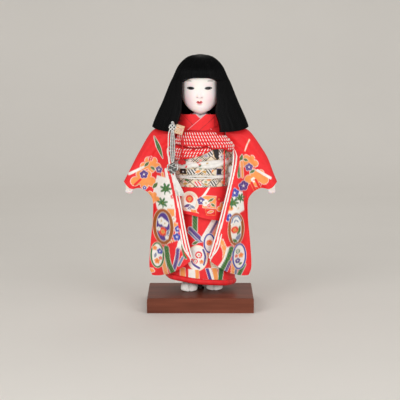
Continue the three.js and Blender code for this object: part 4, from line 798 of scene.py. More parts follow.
def node_tree(name, inputs):
    tree = bpy.data.node_groups.new(name, "GeometryNodeTree")
    tree.interface.new_socket("Geometry", in_out="INPUT", socket_type="NodeSocketGeometry")
    for label, kind, value in inputs:
        socket = tree.interface.new_socket(label, in_out="INPUT", socket_type=kind)
        if value is not None:
            socket.default_value = value
    tree.interface.new_socket("Geometry", in_out="OUTPUT", socket_type="NodeSocketGeometry")
    return tree, tree.nodes.new("NodeGroupInput"), tree.nodes.new("NodeGroupOutput")


def strand_tree():
    """Lines become tapered strands of one thickness."""
    tree, given, result = node_tree("tapered_strands", [
        ("Radius", "NodeSocketFloat", 0.0003), ("Sides", "NodeSocketInt", 4), ("Finish", "NodeSocketMaterial", None)])
    new, link = tree.nodes.new, tree.links.new
    curve, taper, share, radius = (new(k) for k in ("GeometryNodeMeshToCurve", "ShaderNodeMapRange",
                                                    "GeometryNodeSplineParameter", "ShaderNodeMath"))
    sized, ring, swept, whole, coat = (new(k) for k in (
        "GeometryNodeSetCurveRadius", "GeometryNodeCurvePrimitiveCircle", "GeometryNodeCurveToMesh",
        "GeometryNodeRealizeInstances", "GeometryNodeSetMaterial"))
    taper.inputs[1].default_value, taper.inputs[2].default_value = 0.7, 1.0
    taper.inputs[3].default_value, taper.inputs[4].default_value = 1.0, 0.45
    radius.operation = "MULTIPLY"
    ring.inputs["Radius"].default_value = 1.0
    swept.inputs["Fill Caps"].default_value = True
    link(given.outputs["Geometry"], curve.inputs["Mesh"])
    link(share.outputs["Factor"], taper.inputs[0])
    link(taper.outputs[0], radius.inputs[0])
    link(given.outputs["Radius"], radius.inputs[1])
    link(curve.outputs[0], sized.inputs["Curve"])
    link(radius.outputs[0], sized.inputs["Radius"])
    link(given.outputs["Sides"], ring.inputs["Resolution"])
    link(sized.outputs[0], swept.inputs["Curve"])
    link(ring.outputs[0], swept.inputs["Profile Curve"])
    if "Scale" in swept.inputs:
        link(radius.outputs[0], swept.inputs["Scale"])
    link(swept.outputs[0], whole.inputs[0])
    link(whole.outputs[0], coat.inputs["Geometry"])
    link(given.outputs["Finish"], coat.inputs["Material"])
    link(coat.outputs[0], result.inputs[0])
    return tree


def dash_tree():
    """Each point gets a small flat bead that lies along its way, on its cloth."""
    tree, given, result = node_tree("beads_on_cloth", [
        ("Length", "NodeSocketFloat", 0.001), ("Finish", "NodeSocketMaterial", None)])
    new, link = tree.nodes.new, tree.links.new
    bead, shape, out, way, stand, lie, placed, whole, coat = (new(k) for k in (
        "GeometryNodeMeshIcoSphere", "GeometryNodeTransform", "GeometryNodeInputNamedAttribute",
        "GeometryNodeInputNamedAttribute", "FunctionNodeAlignRotationToVector", "FunctionNodeAlignRotationToVector",
        "GeometryNodeInstanceOnPoints", "GeometryNodeRealizeInstances", "GeometryNodeSetMaterial"))
    bead.inputs["Radius"].default_value = 1.0
    bead.inputs["Subdivisions"].default_value = 2
    shape.inputs["Scale"].default_value = (1.0, 0.29, 0.24)
    out.data_type = way.data_type = "FLOAT_VECTOR"
    out.inputs["Name"].default_value, way.inputs["Name"].default_value = "out", "way"
    stand.axis, lie.axis, lie.pivot_axis = "Z", "X", "Z"
    link(bead.outputs["Mesh"], shape.inputs["Geometry"])
    link(out.outputs["Attribute"], stand.inputs["Vector"])
    link(stand.outputs[0], lie.inputs["Rotation"])
    link(way.outputs["Attribute"], lie.inputs["Vector"])
    link(given.outputs["Geometry"], placed.inputs["Points"])
    link(shape.outputs[0], placed.inputs["Instance"])
    link(lie.outputs[0], placed.inputs["Rotation"])
    link(given.outputs["Length"], placed.inputs["Scale"])
    link(placed.outputs[0], whole.inputs[0])
    link(whole.outputs[0], coat.inputs["Geometry"])
    link(given.outputs["Finish"], coat.inputs["Material"])
    link(coat.outputs[0], result.inputs[0])
    return tree


made_trees = {}


def grown(name, kind, points, edges, dye, vectors=None, **given):
    """A piece that a node tree grows from points or lines in the doll's millimetres."""
    if kind not in made_trees:
        made_trees[kind] = {"strands": strand_tree, "dashes": dash_tree}[kind]()
    tree = made_trees[kind]
    mesh = bpy.data.meshes.new(name)
    mesh.from_pydata(((np.asarray(points) + RAISE) * 0.001).tolist(), edges, [])
    for label, values in (vectors or {}).items():
        layer = mesh.attributes.new(label, "FLOAT_VECTOR", "POINT")
        layer.data.foreach_set("vector", np.asarray(values, np.float32).ravel())
    thing = bpy.data.objects.new(name, mesh)
    bpy.context.scene.collection.objects.link(thing)
    grow = thing.modifiers.new("grow", "NODES")
    grow.node_group = tree
    for item in tree.interface.items_tree:
        if item.in_out == "INPUT" and item.name in given:
            grow[item.identifier] = given[item.name]
    settle(thing)
    for extra in ("out", "way"):
        if extra in thing.data.attributes:
            thing.data.attributes.remove(thing.data.attributes[extra])
    if dye is not None:
        paint(thing.data, tint(dye))
    thing.data.shade_smooth()
    return thing


def lines(paths):
    """Points and edges of several lines with as many points each."""
    paths = np.asarray(paths)
    ids = np.arange(paths.shape[0] * paths.shape[1]).reshape(paths.shape[:2])
    edges = np.stack([ids[:, :-1], ids[:, 1:]], -1).reshape(-1, 2)
    return paths.reshape(-1, 3), edges.tolist()


class DollStep:
    """What the steps of the dressing share."""
    bl_options = {"REGISTER", "UNDO"}


class DOLL_OT_stage(DollStep, bpy.types.Operator):
    """Set out the floor, the soft lights and the camera"""
    bl_idname = "doll.stage"
    bl_label = "Stage"

    def execute(self, context):
        scene, look = context.scene, context.scene.doll_stage
        scene.view_settings.view_transform = "Standard"
        reach = np.linspace(-14, 14, 3)
        bend = [(-14.0, 0.0)] + [(1.6 + 1.2 * math.sin(a), 1.2 - 1.2 * math.cos(a)) for a in np.linspace(0, HALF_TURN / 2, 14)]
        bend.append((2.8, 9.0))
        grid = np.array([[(x, y, z) for x in reach] for y, z in bend])
        mesh = bpy.data.meshes.new("floor")
        ids = np.arange(grid.shape[0] * grid.shape[1]).reshape(grid.shape[:2])
        mesh.from_pydata(grid.reshape(-1, 3).tolist(), [], quads(ids)[:, ::1].tolist())
        floor = bpy.data.objects.new("floor", mesh)
        mesh.shade_smooth()
        scene.collection.objects.link(floor)
        f = Finish("pale_floor", rough=0.7)
        f.link(f.blend(f.range(f.noise(3), 0, 1), (*look.floor, 1), (*(0.97 * np.array(look.floor)), 1)), "Base Color")
        # In front, under the lamps, the camera sees the floor as even as the surround
        ahead = f.add("SeparateXYZ", {0: f.add("TexCoord").outputs["Object"]}).outputs["Y"]
        rays = f.add("LightPath").outputs
        seen = rays["Is Camera Ray"]
        for kind in ("Is Glossy Ray", "Is Transmission Ray"):
            seen = f.add("Math", {0: seen, 1: rays[kind]}, operation="MAXIMUM").outputs[0]
        share = f.add("Math", {0: f.range(ahead, 1, 0, -1.9, -0.8), 1: seen}, operation="MULTIPLY").outputs[0]
        even = f.add("Emission", {"Color": SURROUND, "Strength": look.sky}).outputs[0]
        both = f.add("MixShader", {0: share, 1: f.shader.outputs[0], 2: even}).outputs[0]
        f.material.node_tree.links.new(both, f.nodes["Material Output"].inputs["Surface"])
        mesh.materials.append(f.material)
        for name, power, size, place in (
                ("key", look.key, 1.6, (-1.5, -2.3, 1.15)), ("fill", look.fill, 1.8, (1.7, -2.3, 1.0)),
                ("low", look.low, 1.4, (0.1, -2.9, 0.35)), ("rim", look.fill * 0.2, 1.2, (0.4, 1.5, 1.9))):
            lamp = bpy.data.lights.new(name, "AREA")
            lamp.energy, lamp.size = power, size
            holder = bpy.data.objects.new(name, lamp)
            scene.collection.objects.link(holder)
            holder.location = place
            aim = np.array((0, 0, 0.24)) - np.array(place)
            holder.rotation_euler = (math.acos(-aim[2] / np.linalg.norm(aim)), 0, math.atan2(-aim[0], aim[1]))
        world = scene.world or bpy.data.worlds.new("surround")
        scene.world = world
        world.use_nodes = True
        sky = world.node_tree.nodes["Background"]
        sky.inputs[0].default_value = SURROUND
        sky.inputs[1].default_value = look.sky
        camera = bpy.data.cameras.new("camera")
        camera.lens, camera.sensor_width = look.lens, 36
        camera.clip_end = 60
        holder = bpy.data.objects.new("camera", camera)
        scene.collection.objects.link(holder)
        holder.location = (-0.0007, -3.020, 0.570)
        holder.rotation_euler = (math.radians(82.8), 0, 0)
        scene.camera = holder
        return {"FINISHED"}


class DOLL_OT_cords(DollStep, bpy.types.Operator):
    """Hang the tassel's silver cords and its white side cord"""
    bl_idname = "doll.cords"
    bl_label = "Cords"

    def execute(self, context):
        low, high = (np.array(c) * 1000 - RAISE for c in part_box("tassel_cords"))
        middle = (low + high) / 2
        z = np.linspace(high[2] + 1.5, low[2] - 1.5, 60)
        for k in range(3):
            t = np.linspace(0, 1, 60)
            spread = 2.95 * np.sin(HALF_TURN * t) ** 0.35 + 0.3
            lean = (k - 1) * spread
            sway = 0.5 * np.sin(7 * t + 2 * k)
            path = np.stack([middle[0] + lean + 0.25 * sway, middle[1] + 0.8 * (k % 2) + 0.4 * sway, z], -1)
            rings = tube_rings(path, 1.45, 14)
            turn = np.arange(14) / 14 * FULL_TURN
            twist = np.cos(2 * (turn[None] + 0.55 * np.arange(60)[:, None]))
            rings = path[:, None] + (rings - path[:, None]) * (1 + 0.1 * twist)[..., None]
            form = skin(rings)
            # Painted shade: the cord is darker in the grooves of its twist and on its flanks as seen from the front.
            flank_shade = smooth(abs(rings - path[:, None])[..., 0] / 1.45, 0.55, 0.9)
            tone = mix(0.6, 0.9, smooth(0.5 + 0.5 * twist, 0.1, 0.6)) * (1 - 0.9 * flank_shade)
            dye = tint("silver") * np.concatenate([tone.ravel(), [0.5, 0.5]])[:, None]
            cord = piece(f"tassel_cord_{k + 1}", form, finish("silver"), dye)
            dress(cord, "tassel", *(("tassel_cords",) if k == 1 else ()))
        path = through([(-52.4, -64.5, 293), (-55.2, -65.2, 284), (-55.9, -65.4, 262), (-55.6, -65.4, 242), (-53.6, -64.8, 229)],
                       np.linspace(0, 1, 50))
        form = skin(tube_rings(path, 0.8, 10))
        cord = piece("tassel_side_cord", form, finish("braid"), np.tile(tint("white"), (len(form[0]), 1)))
        dress(cord, "tassel")
        return {"FINISHED"}


class DOLL_OT_stand(DollStep, bpy.types.Operator):
    """Finish the lacquered plinth, the steel post and the wooden body"""
    bl_idname = "doll.stand"
    bl_label = "Stand and inner body"

    def execute(self, context):
        plain = {"lacquer": ("plinth",), "steel": ("post_flange", "support_post"),
                 "wood": ("torso", "hip_block", "neck_peg", "left_shoulder_peg", "right_shoulder_peg", "left_thigh",
                          "right_thigh", "left_lower_leg", "right_lower_leg", "left_upper_arm", "right_upper_arm")}
        for kind, names in plain.items():
            for name in names:
                node = frame["nodes"][name]
                node.data.materials.clear()
                node.data.materials.append(finish(kind))
        return {"FINISHED"}


class DOLL_OT_feet(DollStep, bpy.types.Operator):
    """Make the split-toed white socks"""
    bl_idname = "doll.feet"
    bl_label = "Tabi"

    def execute(self, context):
        for name, side in (("left", 1), ("right", -1)):
            low, high = (np.array(c) * 1000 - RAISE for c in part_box(f"{name}_tabi"))
            mid, heel, toe, sole = (low[0] + high[0]) / 2, high[1], low[1], low[2]
            form = profile([(0, 6.5, 17), (0.1, 10.5, 21), (0.3, 12.5, 23), (0.5, 13.8, 18.5), (0.7, 15, 16), (0.85, 15, 14.2),
                            (0.95, 12.6, 11.4), (1, 6.5, 7.5)])
            share, turn = np.linspace(0.003, 1, 46)[:, None], turns(84)[None]
            x = form(share) * np.sign(np.sin(turn)) * abs(np.sin(turn)) ** 0.85
            split = hump(x + side, 1.2) * smooth(share, 0.6, 0.9)
            y = heel - share * (heel - toe) + 3.5 * split * smooth(share, 0.85, 1)
            z = form(share, 1) * (0.5 + 0.5 * np.cos(turn)) ** 1.4 * (1 - 0.25 * split)
            parts = [skin(np.stack(np.broadcast_arrays(mid + x, y, sole + 0.3 + z), -1))]
            leg = np.array([(mid, heel - 0.26 * (heel - toe), z) for z in np.linspace(sole + 8, high[2] - 0.4, 8)])
            parts.append(skin(tube_rings(leg, np.linspace(12.2, 10.6, 8), 26)))
            sock = piece(f"{name}_sock", joined(*parts), finish("cotton"), fuse=0.7)
            points = np.array([v.co[:] for v in sock.data.vertices]) * 1000 - RAISE
            # Painted shade in the toe split, strongest at the toe and fading out 30 mm behind it.
            split_shade = hump(points[:, 0] - mid + side, 0.7) * smooth(-points[:, 1], -toe - 30, -toe)
            paint(sock.data, tint("white") * (1 - 0.18 * split_shade)[:, None])
            dress(sock, "torso", f"{name}_tabi")
        return {"FINISHED"}


class DOLL_OT_skirt(DollStep, bpy.types.Operator):
    """Hang the dyed skirt, its padded hem and the folded waist"""
    bl_idname = "doll.skirt"
    bl_label = "Skirt, hem and waist fold"

    def execute(self, context):
        angle = turns(380)[None]
        v = np.linspace(0, 1, 180)[:, None]
        outer = skirt(angle, v, 3.2)
        inner = skirt(angle, np.linspace(0, 1, 16)[:, None], 0.4)
        dye = Dyer(unrolled(outer[..., 0], angle), outer[..., 2], "red").motifs(SKIRT)
        dye = np.concatenate([dye, np.tile(tint("crimson"), (inner.shape[0] * inner.shape[1], 1))])
        cloth = piece("dyed_skirt", shell(outer, inner), finish("crepe"), dye)
        dress(cloth, "torso", "kimono_skirt")

        angle, w = turns(300)[:, None], turns(22)[None]
        rim = skirt(angle, 1.0, 1.6)
        out = rim * (1, 1, 0)
        out = out / np.linalg.norm(out, axis=-1, keepdims=True)
        ease = 1 + 0.05 * np.cos(23 * angle) + 0.04 * np.cos(37 * angle + 1)
        roll = rim + out * (3.75 * np.sin(w) * ease)[..., None]
        roll[..., 2] += 5 * np.cos(w) - 5.4
        form = torus(roll)
        # Painted shade: the padded hem is darker where its roll is pinched in between the puffs.
        dark = mix(0.9, 1.0, 0.5 + 0.5 * np.cos(23 * angle + 0 * w)).ravel()
        hem = piece("padded_hem", form, finish("crepe"), tint("red") * dark[:, None])
        dress(hem, "torso", "hem_roll")

        angle = turns(360)[None]

        def fold(v, is_outer):
            z = mix(135.5 - 7 * np.tanh(2.2 * np.sin(angle)), OBI_LOW - 0.4, v)
            droop = 3.5 * np.sin(HALF_TURN * np.minimum(1, 1.15 * (1 - v))) + 1.5 if is_outer else 0
            off = (8 if is_outer else 3.4) + droop + 6 * (1 - v)
            if is_outer:
                off = off + 0.5 * np.sin(11 * angle + 3 * v) * np.sin(HALF_TURN * v)
            return oval(angle, WAIST_WIDE + off, WAIST_DEEP + off, WAIST_DEEP + off, z)

        outer = fold(np.linspace(0, 1, 76)[:, None], True)
        inner = fold(np.linspace(0, 1, 8)[:, None], False)
        d = Dyer(unrolled(outer[..., 0], angle), outer[..., 2], "red")
        d.motifs(WAIST)
        d.lay(smooth(0.13 - np.linspace(0, 1, 76), 0, 0.02).repeat(360), "red")
        dye = d.colour
        dye = np.concatenate([dye, np.tile(tint("crimson"), (inner.shape[0] * inner.shape[1], 1))])
        waist = piece("folded_waist", shell(outer, inner), finish("crepe"), dye)
        dress(waist, "torso", "waist_fold")
        return {"FINISHED"}


class DOLL_OT_bodice(DollStep, bpy.types.Operator):
    """Lay the bodice, the crossed collars, the neckband and the white under-collar"""
    bl_idname = "doll.bodice"
    bl_label = "Bodice and collars"

    def execute(self, context):
        angle = turns(200)[None]
        z = np.concatenate([np.linspace(182, 250, 14), np.linspace(252, 301.6, 66)])[:, None]
        outer = oval(angle, body(z) + 3 + 1.7 * smooth(z, 244, 258) + 4 * smooth(z, 287, 295), body(z, 1) + 3, body(z, 1) + 3, z)
        low = np.linspace(182, 301.6, 14)[:, None]
        inner = oval(angle, body(low) + 0.6, body(low, 1) + 0.6, body(low, 1) + 0.6, low)
        dyer = Dyer(outer[..., 0], outer[..., 2], "red")
        behind = (outer[..., 1] > 6).ravel()[:, None]
        dye = np.where(behind, dyer.motifs(SHOULDERS), tint("red"))
        dye = np.concatenate([dye, np.tile(tint("crimson"), (inner.shape[0] * inner.shape[1], 1))])
        top = piece("dyed_bodice", shell(outer, inner), finish("crepe"), dye)
        dress(top, "torso", "kimono_bodice")

        def chest(x, z, off):
            z = np.minimum(z, 302)
            wide, deep = body(z) + 3 + off, body(z, 1) + 3 + off
            return -deep * np.sqrt(np.maximum(0.02, 1 - (x / wide) ** 2))

        collar_width = profile([(0, 35), (0.4, 45), (0.7, 41), (1, 32)])
        for name, side, off in (("right", -1, 0.7), ("left", 1, 3.4)):
            t, w = np.linspace(0, 1, 60)[:, None], np.linspace(0, 1, 40)[None]

            def band(lift, t=t, w=w, side=side, off=off):
                z = mix(287.5, 315, t) - (w - 0.5) * 1.5
                x = side * (z - 309) * (1.13 if side > 0 else 1) + side * mix(0.5, collar_width(t), w)
                return np.stack([x, chest(x, z, off + lift), z], -1)

            reach = w * collar_width(t)
            outer, inner = band(1.8 - 0.5 * (w < 0.03) - 0.6 * hump(reach - 25.5, 0.7)), band(0)
            d = Dyer(outer[..., 0], outer[..., 2], "red")
            reach = reach.ravel()
            d.lay(np.clip(1.3 - abs(reach - 0.6) / 0.6, 0, 1), "blush")
            d.lay(0.85 * np.clip(1.2 - abs(reach - 0.4) / 0.5, 0, 1), "white")
            # Painted shade: a dark line in the fold of the collar, and on the left collar a second dark line between
            # the collar and the shoulder.
            d.lay(0.7 * hump(reach - (22.5 if side > 0 else 25.5), 0.5), "black")
            if side > 0:
                d.lay(0.45 * hump(d.x - 25.2, 0.8), "black")
            dye = d.colour
            dye = np.concatenate([dye, np.tile(tint("crimson"), (inner.shape[0] * inner.shape[1], 1))])
            collar = piece(f"dyed_{name}_collar", shell(outer, inner, ring=False), finish("crepe"), dye)
            dress(collar, "torso", f"{name}_collar")

        angle, v = np.radians(np.linspace(75, 285, 90))[None], np.linspace(0, 1, 16)[:, None]

        def band(lift):
            r = mix(17.5, 15.5, v) + lift
            return oval(angle, r, r, 1.1 * r, mix(302.4, 315, v))

        outer, inner = band(3 - 0.6 * (2 * v - 1) ** 2), band(1)
        form = shell(outer, inner, ring=False)
        neck = piece("dyed_neckband", form, finish("crepe"), np.tile(tint("red"), (len(form[0]), 1)))
        dress(neck, "torso", "neckband")

        angle = turns(120)[None]

        def under(lift):
            top = np.where(np.cos(angle) > 0, np.minimum(315.2, 312.3 + 0.5 * abs(14.3 * np.sin(angle))), 315)
            r = 11.9 + lift
            return oval(angle, r, r + mix(11, 9, v), r, mix(296.4, top, v))

        form = shell(under(2.4 - 0.5 * smooth(v, 0.9, 1)), under(0))
        inside = piece("white_under_collar", form, finish("silk"), np.tile(tint("white"), (len(form[0]), 1)))
        dress(inside, "torso", "under_collar")
        return {"FINISHED"}


class DOLL_OT_obi(DollStep, bpy.types.Operator):
    """Wrap the brocade obi and tie its bow"""
    bl_idname = "doll.obi"
    bl_label = "Obi and bow"

    def execute(self, context):
        angle, v = turns(400)[None], np.linspace(0, 1, 104)[:, None]

        def wrap(off, v, is_outer):
            swell = -1.2 * (2 * v - 1) ** 4 if is_outer else 0
            if is_outer:
                swell = swell - 0.5 * np.exp(-(((v - 0.62) / 0.012) ** 2)) - 0.4 * np.exp(-(((v - 0.2) / 0.012) ** 2))
            return oval(angle, WAIST_WIDE + off + swell, WAIST_DEEP + off + swell, WAIST_DEEP + off + swell,
                        mix(OBI_LOW, OBI_TOP, v))

        outer, inner = wrap(OBI_OUT, v, True), wrap(3.4, np.linspace(0, 1, 6)[:, None], False)
        arc = np.broadcast_to((angle + HALF_TURN) % FULL_TURN - HALF_TURN, outer.shape[:2]) * 46
        d = brocade(arc, outer[..., 2])
        d.motifs(OBI)
        dye = np.concatenate([d.colour, np.tile(tint("cream"), (inner.shape[0] * inner.shape[1], 1))])
        obi = piece("brocade_obi", shell(outer, inner), finish("brocade"), dye)
        dress(obi, "torso", "obi")

        u, v = np.linspace(0, 1, 72)[None], np.linspace(0, 1, 72)[:, None]
        for name, at, half, depth, lean, waves in (
                ("bow_knot", (0, 56, 223.9), (16, 27), 11, 0, 0), ("left_bow_wing", (37.4, 56, 231.9), (21, 24), 8, 7, 3),
                ("right_bow_wing", (-37.4, 56, 231.9), (21, 24), 8, -7, 3)):
            x, z = 2 * u - 1, 2 * v - 1
            swell = np.sqrt(np.maximum(0, 1 - x ** 4)) * np.sqrt(np.maximum(0, 1 - z ** 4))
            pleat = 0.14 * depth * np.cos(waves * HALF_TURN * z) * swell if waves else 0.05 * depth * np.cos(9 * x) * swell
            sides = []
            for way in (1, -1):
                y = way * depth * (0.12 + 0.88 * swell) + pleat
                place = np.stack(np.broadcast_arrays(x * half[0], y, z * half[1] * (1 - 0.1 * x * x) + lean * x), -1)
                sides.append(place + np.array(at))
            form = shell(sides[0], sides[1], ring=False)
            bow = piece("brocade_" + name, form, finish("brocade"), brocade(form[0][:, 0] + 0.8 * form[0][:, 1], form[0][:, 2]).colour)
            dress(bow, "torso", name)
        return {"FINISHED"}


class DOLL_OT_scarf(DollStep, bpy.types.Operator):
    """Puff the tie-dyed scarf over the obi"""
    bl_idname = "doll.scarf"
    bl_label = "Tie-dyed scarf"

    def execute(self, context):
        angle, v = turns(360)[None], np.linspace(0, 1, 84)[:, None]
        outer = scarf(angle, v)
        z = mix(scarf_foot(angle), scarf_top(angle), np.linspace(0, 1, 10)[:, None])
        sunk = smooth(z, 261, 271)
        inside = mix(10.6, 5.8, sunk)
        wide, deep = (mix(waist, body(z, k), sunk) + inside for k, waist in ((0, WAIST_WIDE), (1, WAIST_DEEP)))
        inner = oval(angle, wide, deep, deep, z)
        # Painted shade along the crease where the scarf's two rolls meet in front.
        crease = hump(v - scarf_crease(angle), 0.035) * (np.cos(angle) > 0)
        dye = tint("red") * (1 - 0.7 * crease).ravel()[:, None]
        dye = np.concatenate([dye, np.tile(tint("crimson"), (inner.shape[0] * inner.shape[1], 1))])
        cloth = piece("tie_dyed_scarf", shell(outer, inner), finish("crepe"), dye)
        dress(cloth, "torso", "obiage")

        spots, outs, ways = [], [], []
        for row in range(-20, 20):
            for col in range(-34, 35):
                turn = 4.7 * (col + 0.5 * (row % 2)) / 52
                low, high, crease = scarf_foot(turn), scarf_top(turn), scarf_crease(turn)
                share = (260.3 + 5.5 * row - low) / (high - low)
                if high - low < 12:
                    share, steep = 0.55 if row == 0 else -1, -0.8
                else:
                    steep = -2.3 if share > crease else 1.2
                if not 0.04 < share < 0.97 or high - low >= 12 and abs(share - crease) < 0.05:
                    continue
                here, over, aside = (scarf(np.array(turn + dt), np.array(share + ds), 0.1)
                                     for dt, ds in ((0, 0), (0, 0.01), (0.01, 0)))
                up, along = over - here, aside - here
                normal = np.cross(along, up)
                spots.append(here)
                outs.append(normal / np.linalg.norm(normal))
                ways.append(along / np.linalg.norm(along) + steep * up / np.linalg.norm(up))
        dots = grown("tie_dyed_dashes", "dashes", spots, [], "white", {"out": outs, "way": ways},
                     Length=sizes().dash, Finish=finish("silk"))
        dress(dots, "torso")
        return {"FINISHED"}


class DOLL_OT_obijime(DollStep, bpy.types.Operator):
    """Tie the two white cords round the obi, the red knot and the red ties"""
    bl_idname = "doll.obijime"
    bl_label = "Cords round the obi"

    def execute(self, context):
        angle, w = turns(420)[:, None], turns(14)[None]
        away = turned(angle)
        thick = 3 * mix(1, 0.5, smooth(away, 0.6, 1.4))
        tall = 7.3 * mix(1, 0.6, smooth(away, 0.9, 1.6))
        middle = np.minimum(227.8 + 5.5 * np.maximum(0, np.sin(angle)) ** 2, scarf_foot(angle) - tall - 0.8)
        flat, high = np.sign(np.cos(w)) * abs(np.cos(w)) ** 0.7, np.sign(np.sin(w)) * abs(np.sin(w)) ** 0.8
        for k in range(2):
            turn = 3 * angle + 0.5 + k * HALF_TURN
            off = 10.6 + thick * (1 + 0.36 * np.cos(turn)) + 0.6 * thick * flat
            z = middle + 0.42 * tall * np.sin(turn) + 0.57 * tall * high
            grid = oval(angle + 0 * w, WAIST_WIDE + off, WAIST_DEEP + off, WAIST_DEEP + off, z)
            # Painted shade round the cord: darker where its flat faces turn round its rounded edges.
            ply_shade = 0.5 + 0.5 * np.cos(4 * w + 0 * angle)
            d = Dyer(grid[..., 0], grid[..., 2], "white")
            d.colour *= mix(0.92, 1.0, ply_shade).ravel()[:, None]
            plain = d.colour.copy()
            for x, height, name in ((-4, 232.5, "red"), (-0.5, 226.6, "green"), (-25, 224.3, "red"), (36.7, 223.4, "red"),
                                    (48, 236, "red"), (-1.5, 229, "red"), (42, 229, "gold"), (12, 231, "gold"), (-14, 222, "gold")):
                d.oval((x, height), (2.4, 1.5), name, 0.6)
            dye = np.where((grid[..., 1] < 0).reshape(-1, 1), d.colour, plain)
            cord = piece(f"wide_obi_cord_{k + 1}", torus(grid), finish("braid"), dye)
            dress(cord, "torso", *(("obijime_wide",) if k == 0 else ()))
        thick = 2.4 * mix(1, 0.6, smooth(away, 0.6, 1.4))
        for k in range(2):
            way = 1 - 2 * k
            off = 10.2 + thick + 0.85 * thick * np.cos(w)
            z = 206 + way * (1.6 + 0.6 * np.cos(4 * angle)) + 1.5 * np.sin(w)
            grid = oval(angle + 0 * w, WAIST_WIDE + off, WAIST_DEEP + off, WAIST_DEEP + off, z)
            # Painted shade along a spiral, for the grooves of the cord's twist.
            ply_shade = 0.5 + 0.5 * np.cos(2 * w - 90 * way * angle)
            cord = piece(f"thin_obi_cord_{k + 1}", torus(grid), finish("braid"),
                         tint("white") * mix(0.92, 1.03, ply_shade).ravel()[:, None])
            dress(cord, "torso", *(("obijime_thin",) if k == 0 else ()))

        low, high = (np.array(c) * 1000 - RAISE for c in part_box("red_knot"))
        middle, half = (low + high) / 2, (high - low) / 2
        parts = [skin(ball(middle, half * (0.4, 0.85, 0.42), 14, 20))]
        for k in range(7):
            turn = k * FULL_TURN / 7 + 0.3
            at = middle + half * (0.66 * math.cos(turn), -0.05, 0.64 * math.sin(turn))
            parts.append(skin(ball(at, half * (0.34, 0.8, 0.36), 10, 14)))
        rose = piece("red_rosette", joined(*parts), finish("crepe"), fuse=0.35)
        points = np.array([v.co[:] for v in rose.data.vertices]) * 1000 - RAISE
        # Painted shade: the rosette darkens towards its back, so the gaps between its petals read as shaded.
        deep = smooth(points[:, 1], middle[1] - half[1], middle[1] + half[1])
        paint(rose.data, tint("crimson") * mix(1.0, 0.3, deep)[:, None])
        dress(rose, "torso", "red_knot")
        source = frame["nodes"]["purse_cord"].data
        points = np.array([v.co[:] for v in source.vertices]) * 1000 - RAISE
        levels = np.linspace(points[:, 2].max() + 1.8, points[:, 2].min() + 0.3, 60)
        over = np.array([points[abs(points[:, 2] - z) < 4.5].mean(0) for z in levels])
        over[:, 2] = levels
        for _ in range(6):
            over[1:-1] = (over[:-2] + 2 * over[1:-1] + over[2:]) / 4
        tie = through([(42, -27, 257), (42, -29, 250), (42, -31.6, 240), (42, -32.4, 230), (42, -31.4, 221), (42, -29.6, 213),
                       (42, -30, 206), (42, -27.6, 199), (42, -26.8, 190.9)], np.linspace(0, 1, 60))
        for node, rows in (("purse_cord", over), ("red_tie", tie)):
            rings = tube_rings(rows, 1.15, 14)
            turn = np.arange(14) / 14 * FULL_TURN
            twist = np.cos(2 * (turn[None] + 0.7 * np.arange(60)[:, None]))
            rings = rows[:, None] + (rings - rows[:, None]) * (1 + 0.12 * twist)[..., None]
            shade_of = np.concatenate([mix(0.72, 1.05, 0.5 + 0.5 * twist).ravel(), [0.9, 0.9]])
            cord = piece("twisted_" + node, skin(rings), finish("crepe"), tint("red") * shade_of[:, None])
            dress(cord, "torso", node)
        return {"FINISHED"}


RIDGE = [(.4, 19), (20, 18), (41, 12), (64, -25), (79, -54), (91, -77)]
OUTER = [(91, -77), (79, -89), (62, -89), (47, -98), (38.5, -114), (39, -146), (44, -190), (46, -228), (41, -244)]
INNER = [(.4, 19), (.9, -6), (12.2, -17), (12.8, -40), (6, -76), (-9, -142), (-27, -210)]
FOOT = [(-27, -210), (0, -231), (25, -243), (41, -244)]


def sleeve_plan(u, v, tuck):
    """Where a point of the sleeve lies, seen from the front, for the left side."""
    u, v = np.broadcast_arrays(u, v)
    ridge, foot, inner, outer = through(RIDGE, u), through(FOOT, u), through(INNER, v), through(OUTER, v)
    u, v = u[..., None], v[..., None]
    corners = ((1 - u) * (1 - v) * np.array(RIDGE[0]) + u * (1 - v) * np.array(RIDGE[-1])
               + (1 - u) * v * np.array(FOOT[0]) + u * v * np.array(FOOT[-1]))
    plan = ridge * (1 - v) + foot * v + inner * (1 - u) + outer * u - corners + (ARMHOLE, SHOULDER)
    moved = (tuck[0] * smooth(v, 0.3, 0.44) * mix(1, 0.45, smooth(v, 0.7, 1)) + tuck[1] * smooth(v, 0.6, 0.95)) * (1 - u) ** 2
    full = tuck[2] * hump(u - 0.66, 0.2) * smooth(0.2 - v, 0, 0.2)
    return plan + np.concatenate([0.85 * full - moved, 0.5 * full], -1)


def body_front(x, z):
    grow = np.where(z > 130, np.where(z > 187, 16.2, 20), skirt_out(z) + 5.4)
    grow = np.where(z < 39, skirt_out(27) + 10.2, grow)
    wide, deep = WAIST_WIDE + grow, WAIST_DEEP + grow
    return np.where(abs(x) < wide, -deep * np.sqrt(np.maximum(0, 1 - (x / wide) ** 2)), 40)


def sleeve_sides(u, v, tuck):
    """Front and back points of a sleeve, drawn for the left, its inner edge tucked in by so much."""
    plan = sleeve_plan(u, v, tuck)
    u, v = np.broadcast_arrays(u, v)
    x, z = plan[..., 0], plan[..., 1]
    thick = mix(mix(33, 22, smooth(u, 0, 0.8)), mix(11, 8, u), smooth(v, 0.1, 0.34))
    thick = thick * np.sqrt(np.minimum(1, v / 0.07)) * mix(1, 0.35, smooth(u, 0.86, 1) * smooth(v, 0.14, 0.24))
    thick = thick * mix(1, 0.4, smooth(v, 0.93, 1)) * mix(1, 0.4, (1 - smooth(u, 0, 0.3)) * smooth(v, 0.4, 0.55))
    hang = mix(-56, -9, smooth(x, 18, 100)) + 3.2 * np.sin(9 * u + 2.2 * v) * smooth(v, 0.3, 0.6)
    middle = mix(mix(1, -7, u), hang, smooth(v, 0.12, 0.55))
    back = middle + thick / 2
    back = mix(back, np.minimum(back, body_front(x, z) - 1.2), smooth(v, 0.26, 0.34))
    return np.stack([x, back - thick, z], -1), np.stack([x, back, z], -1)


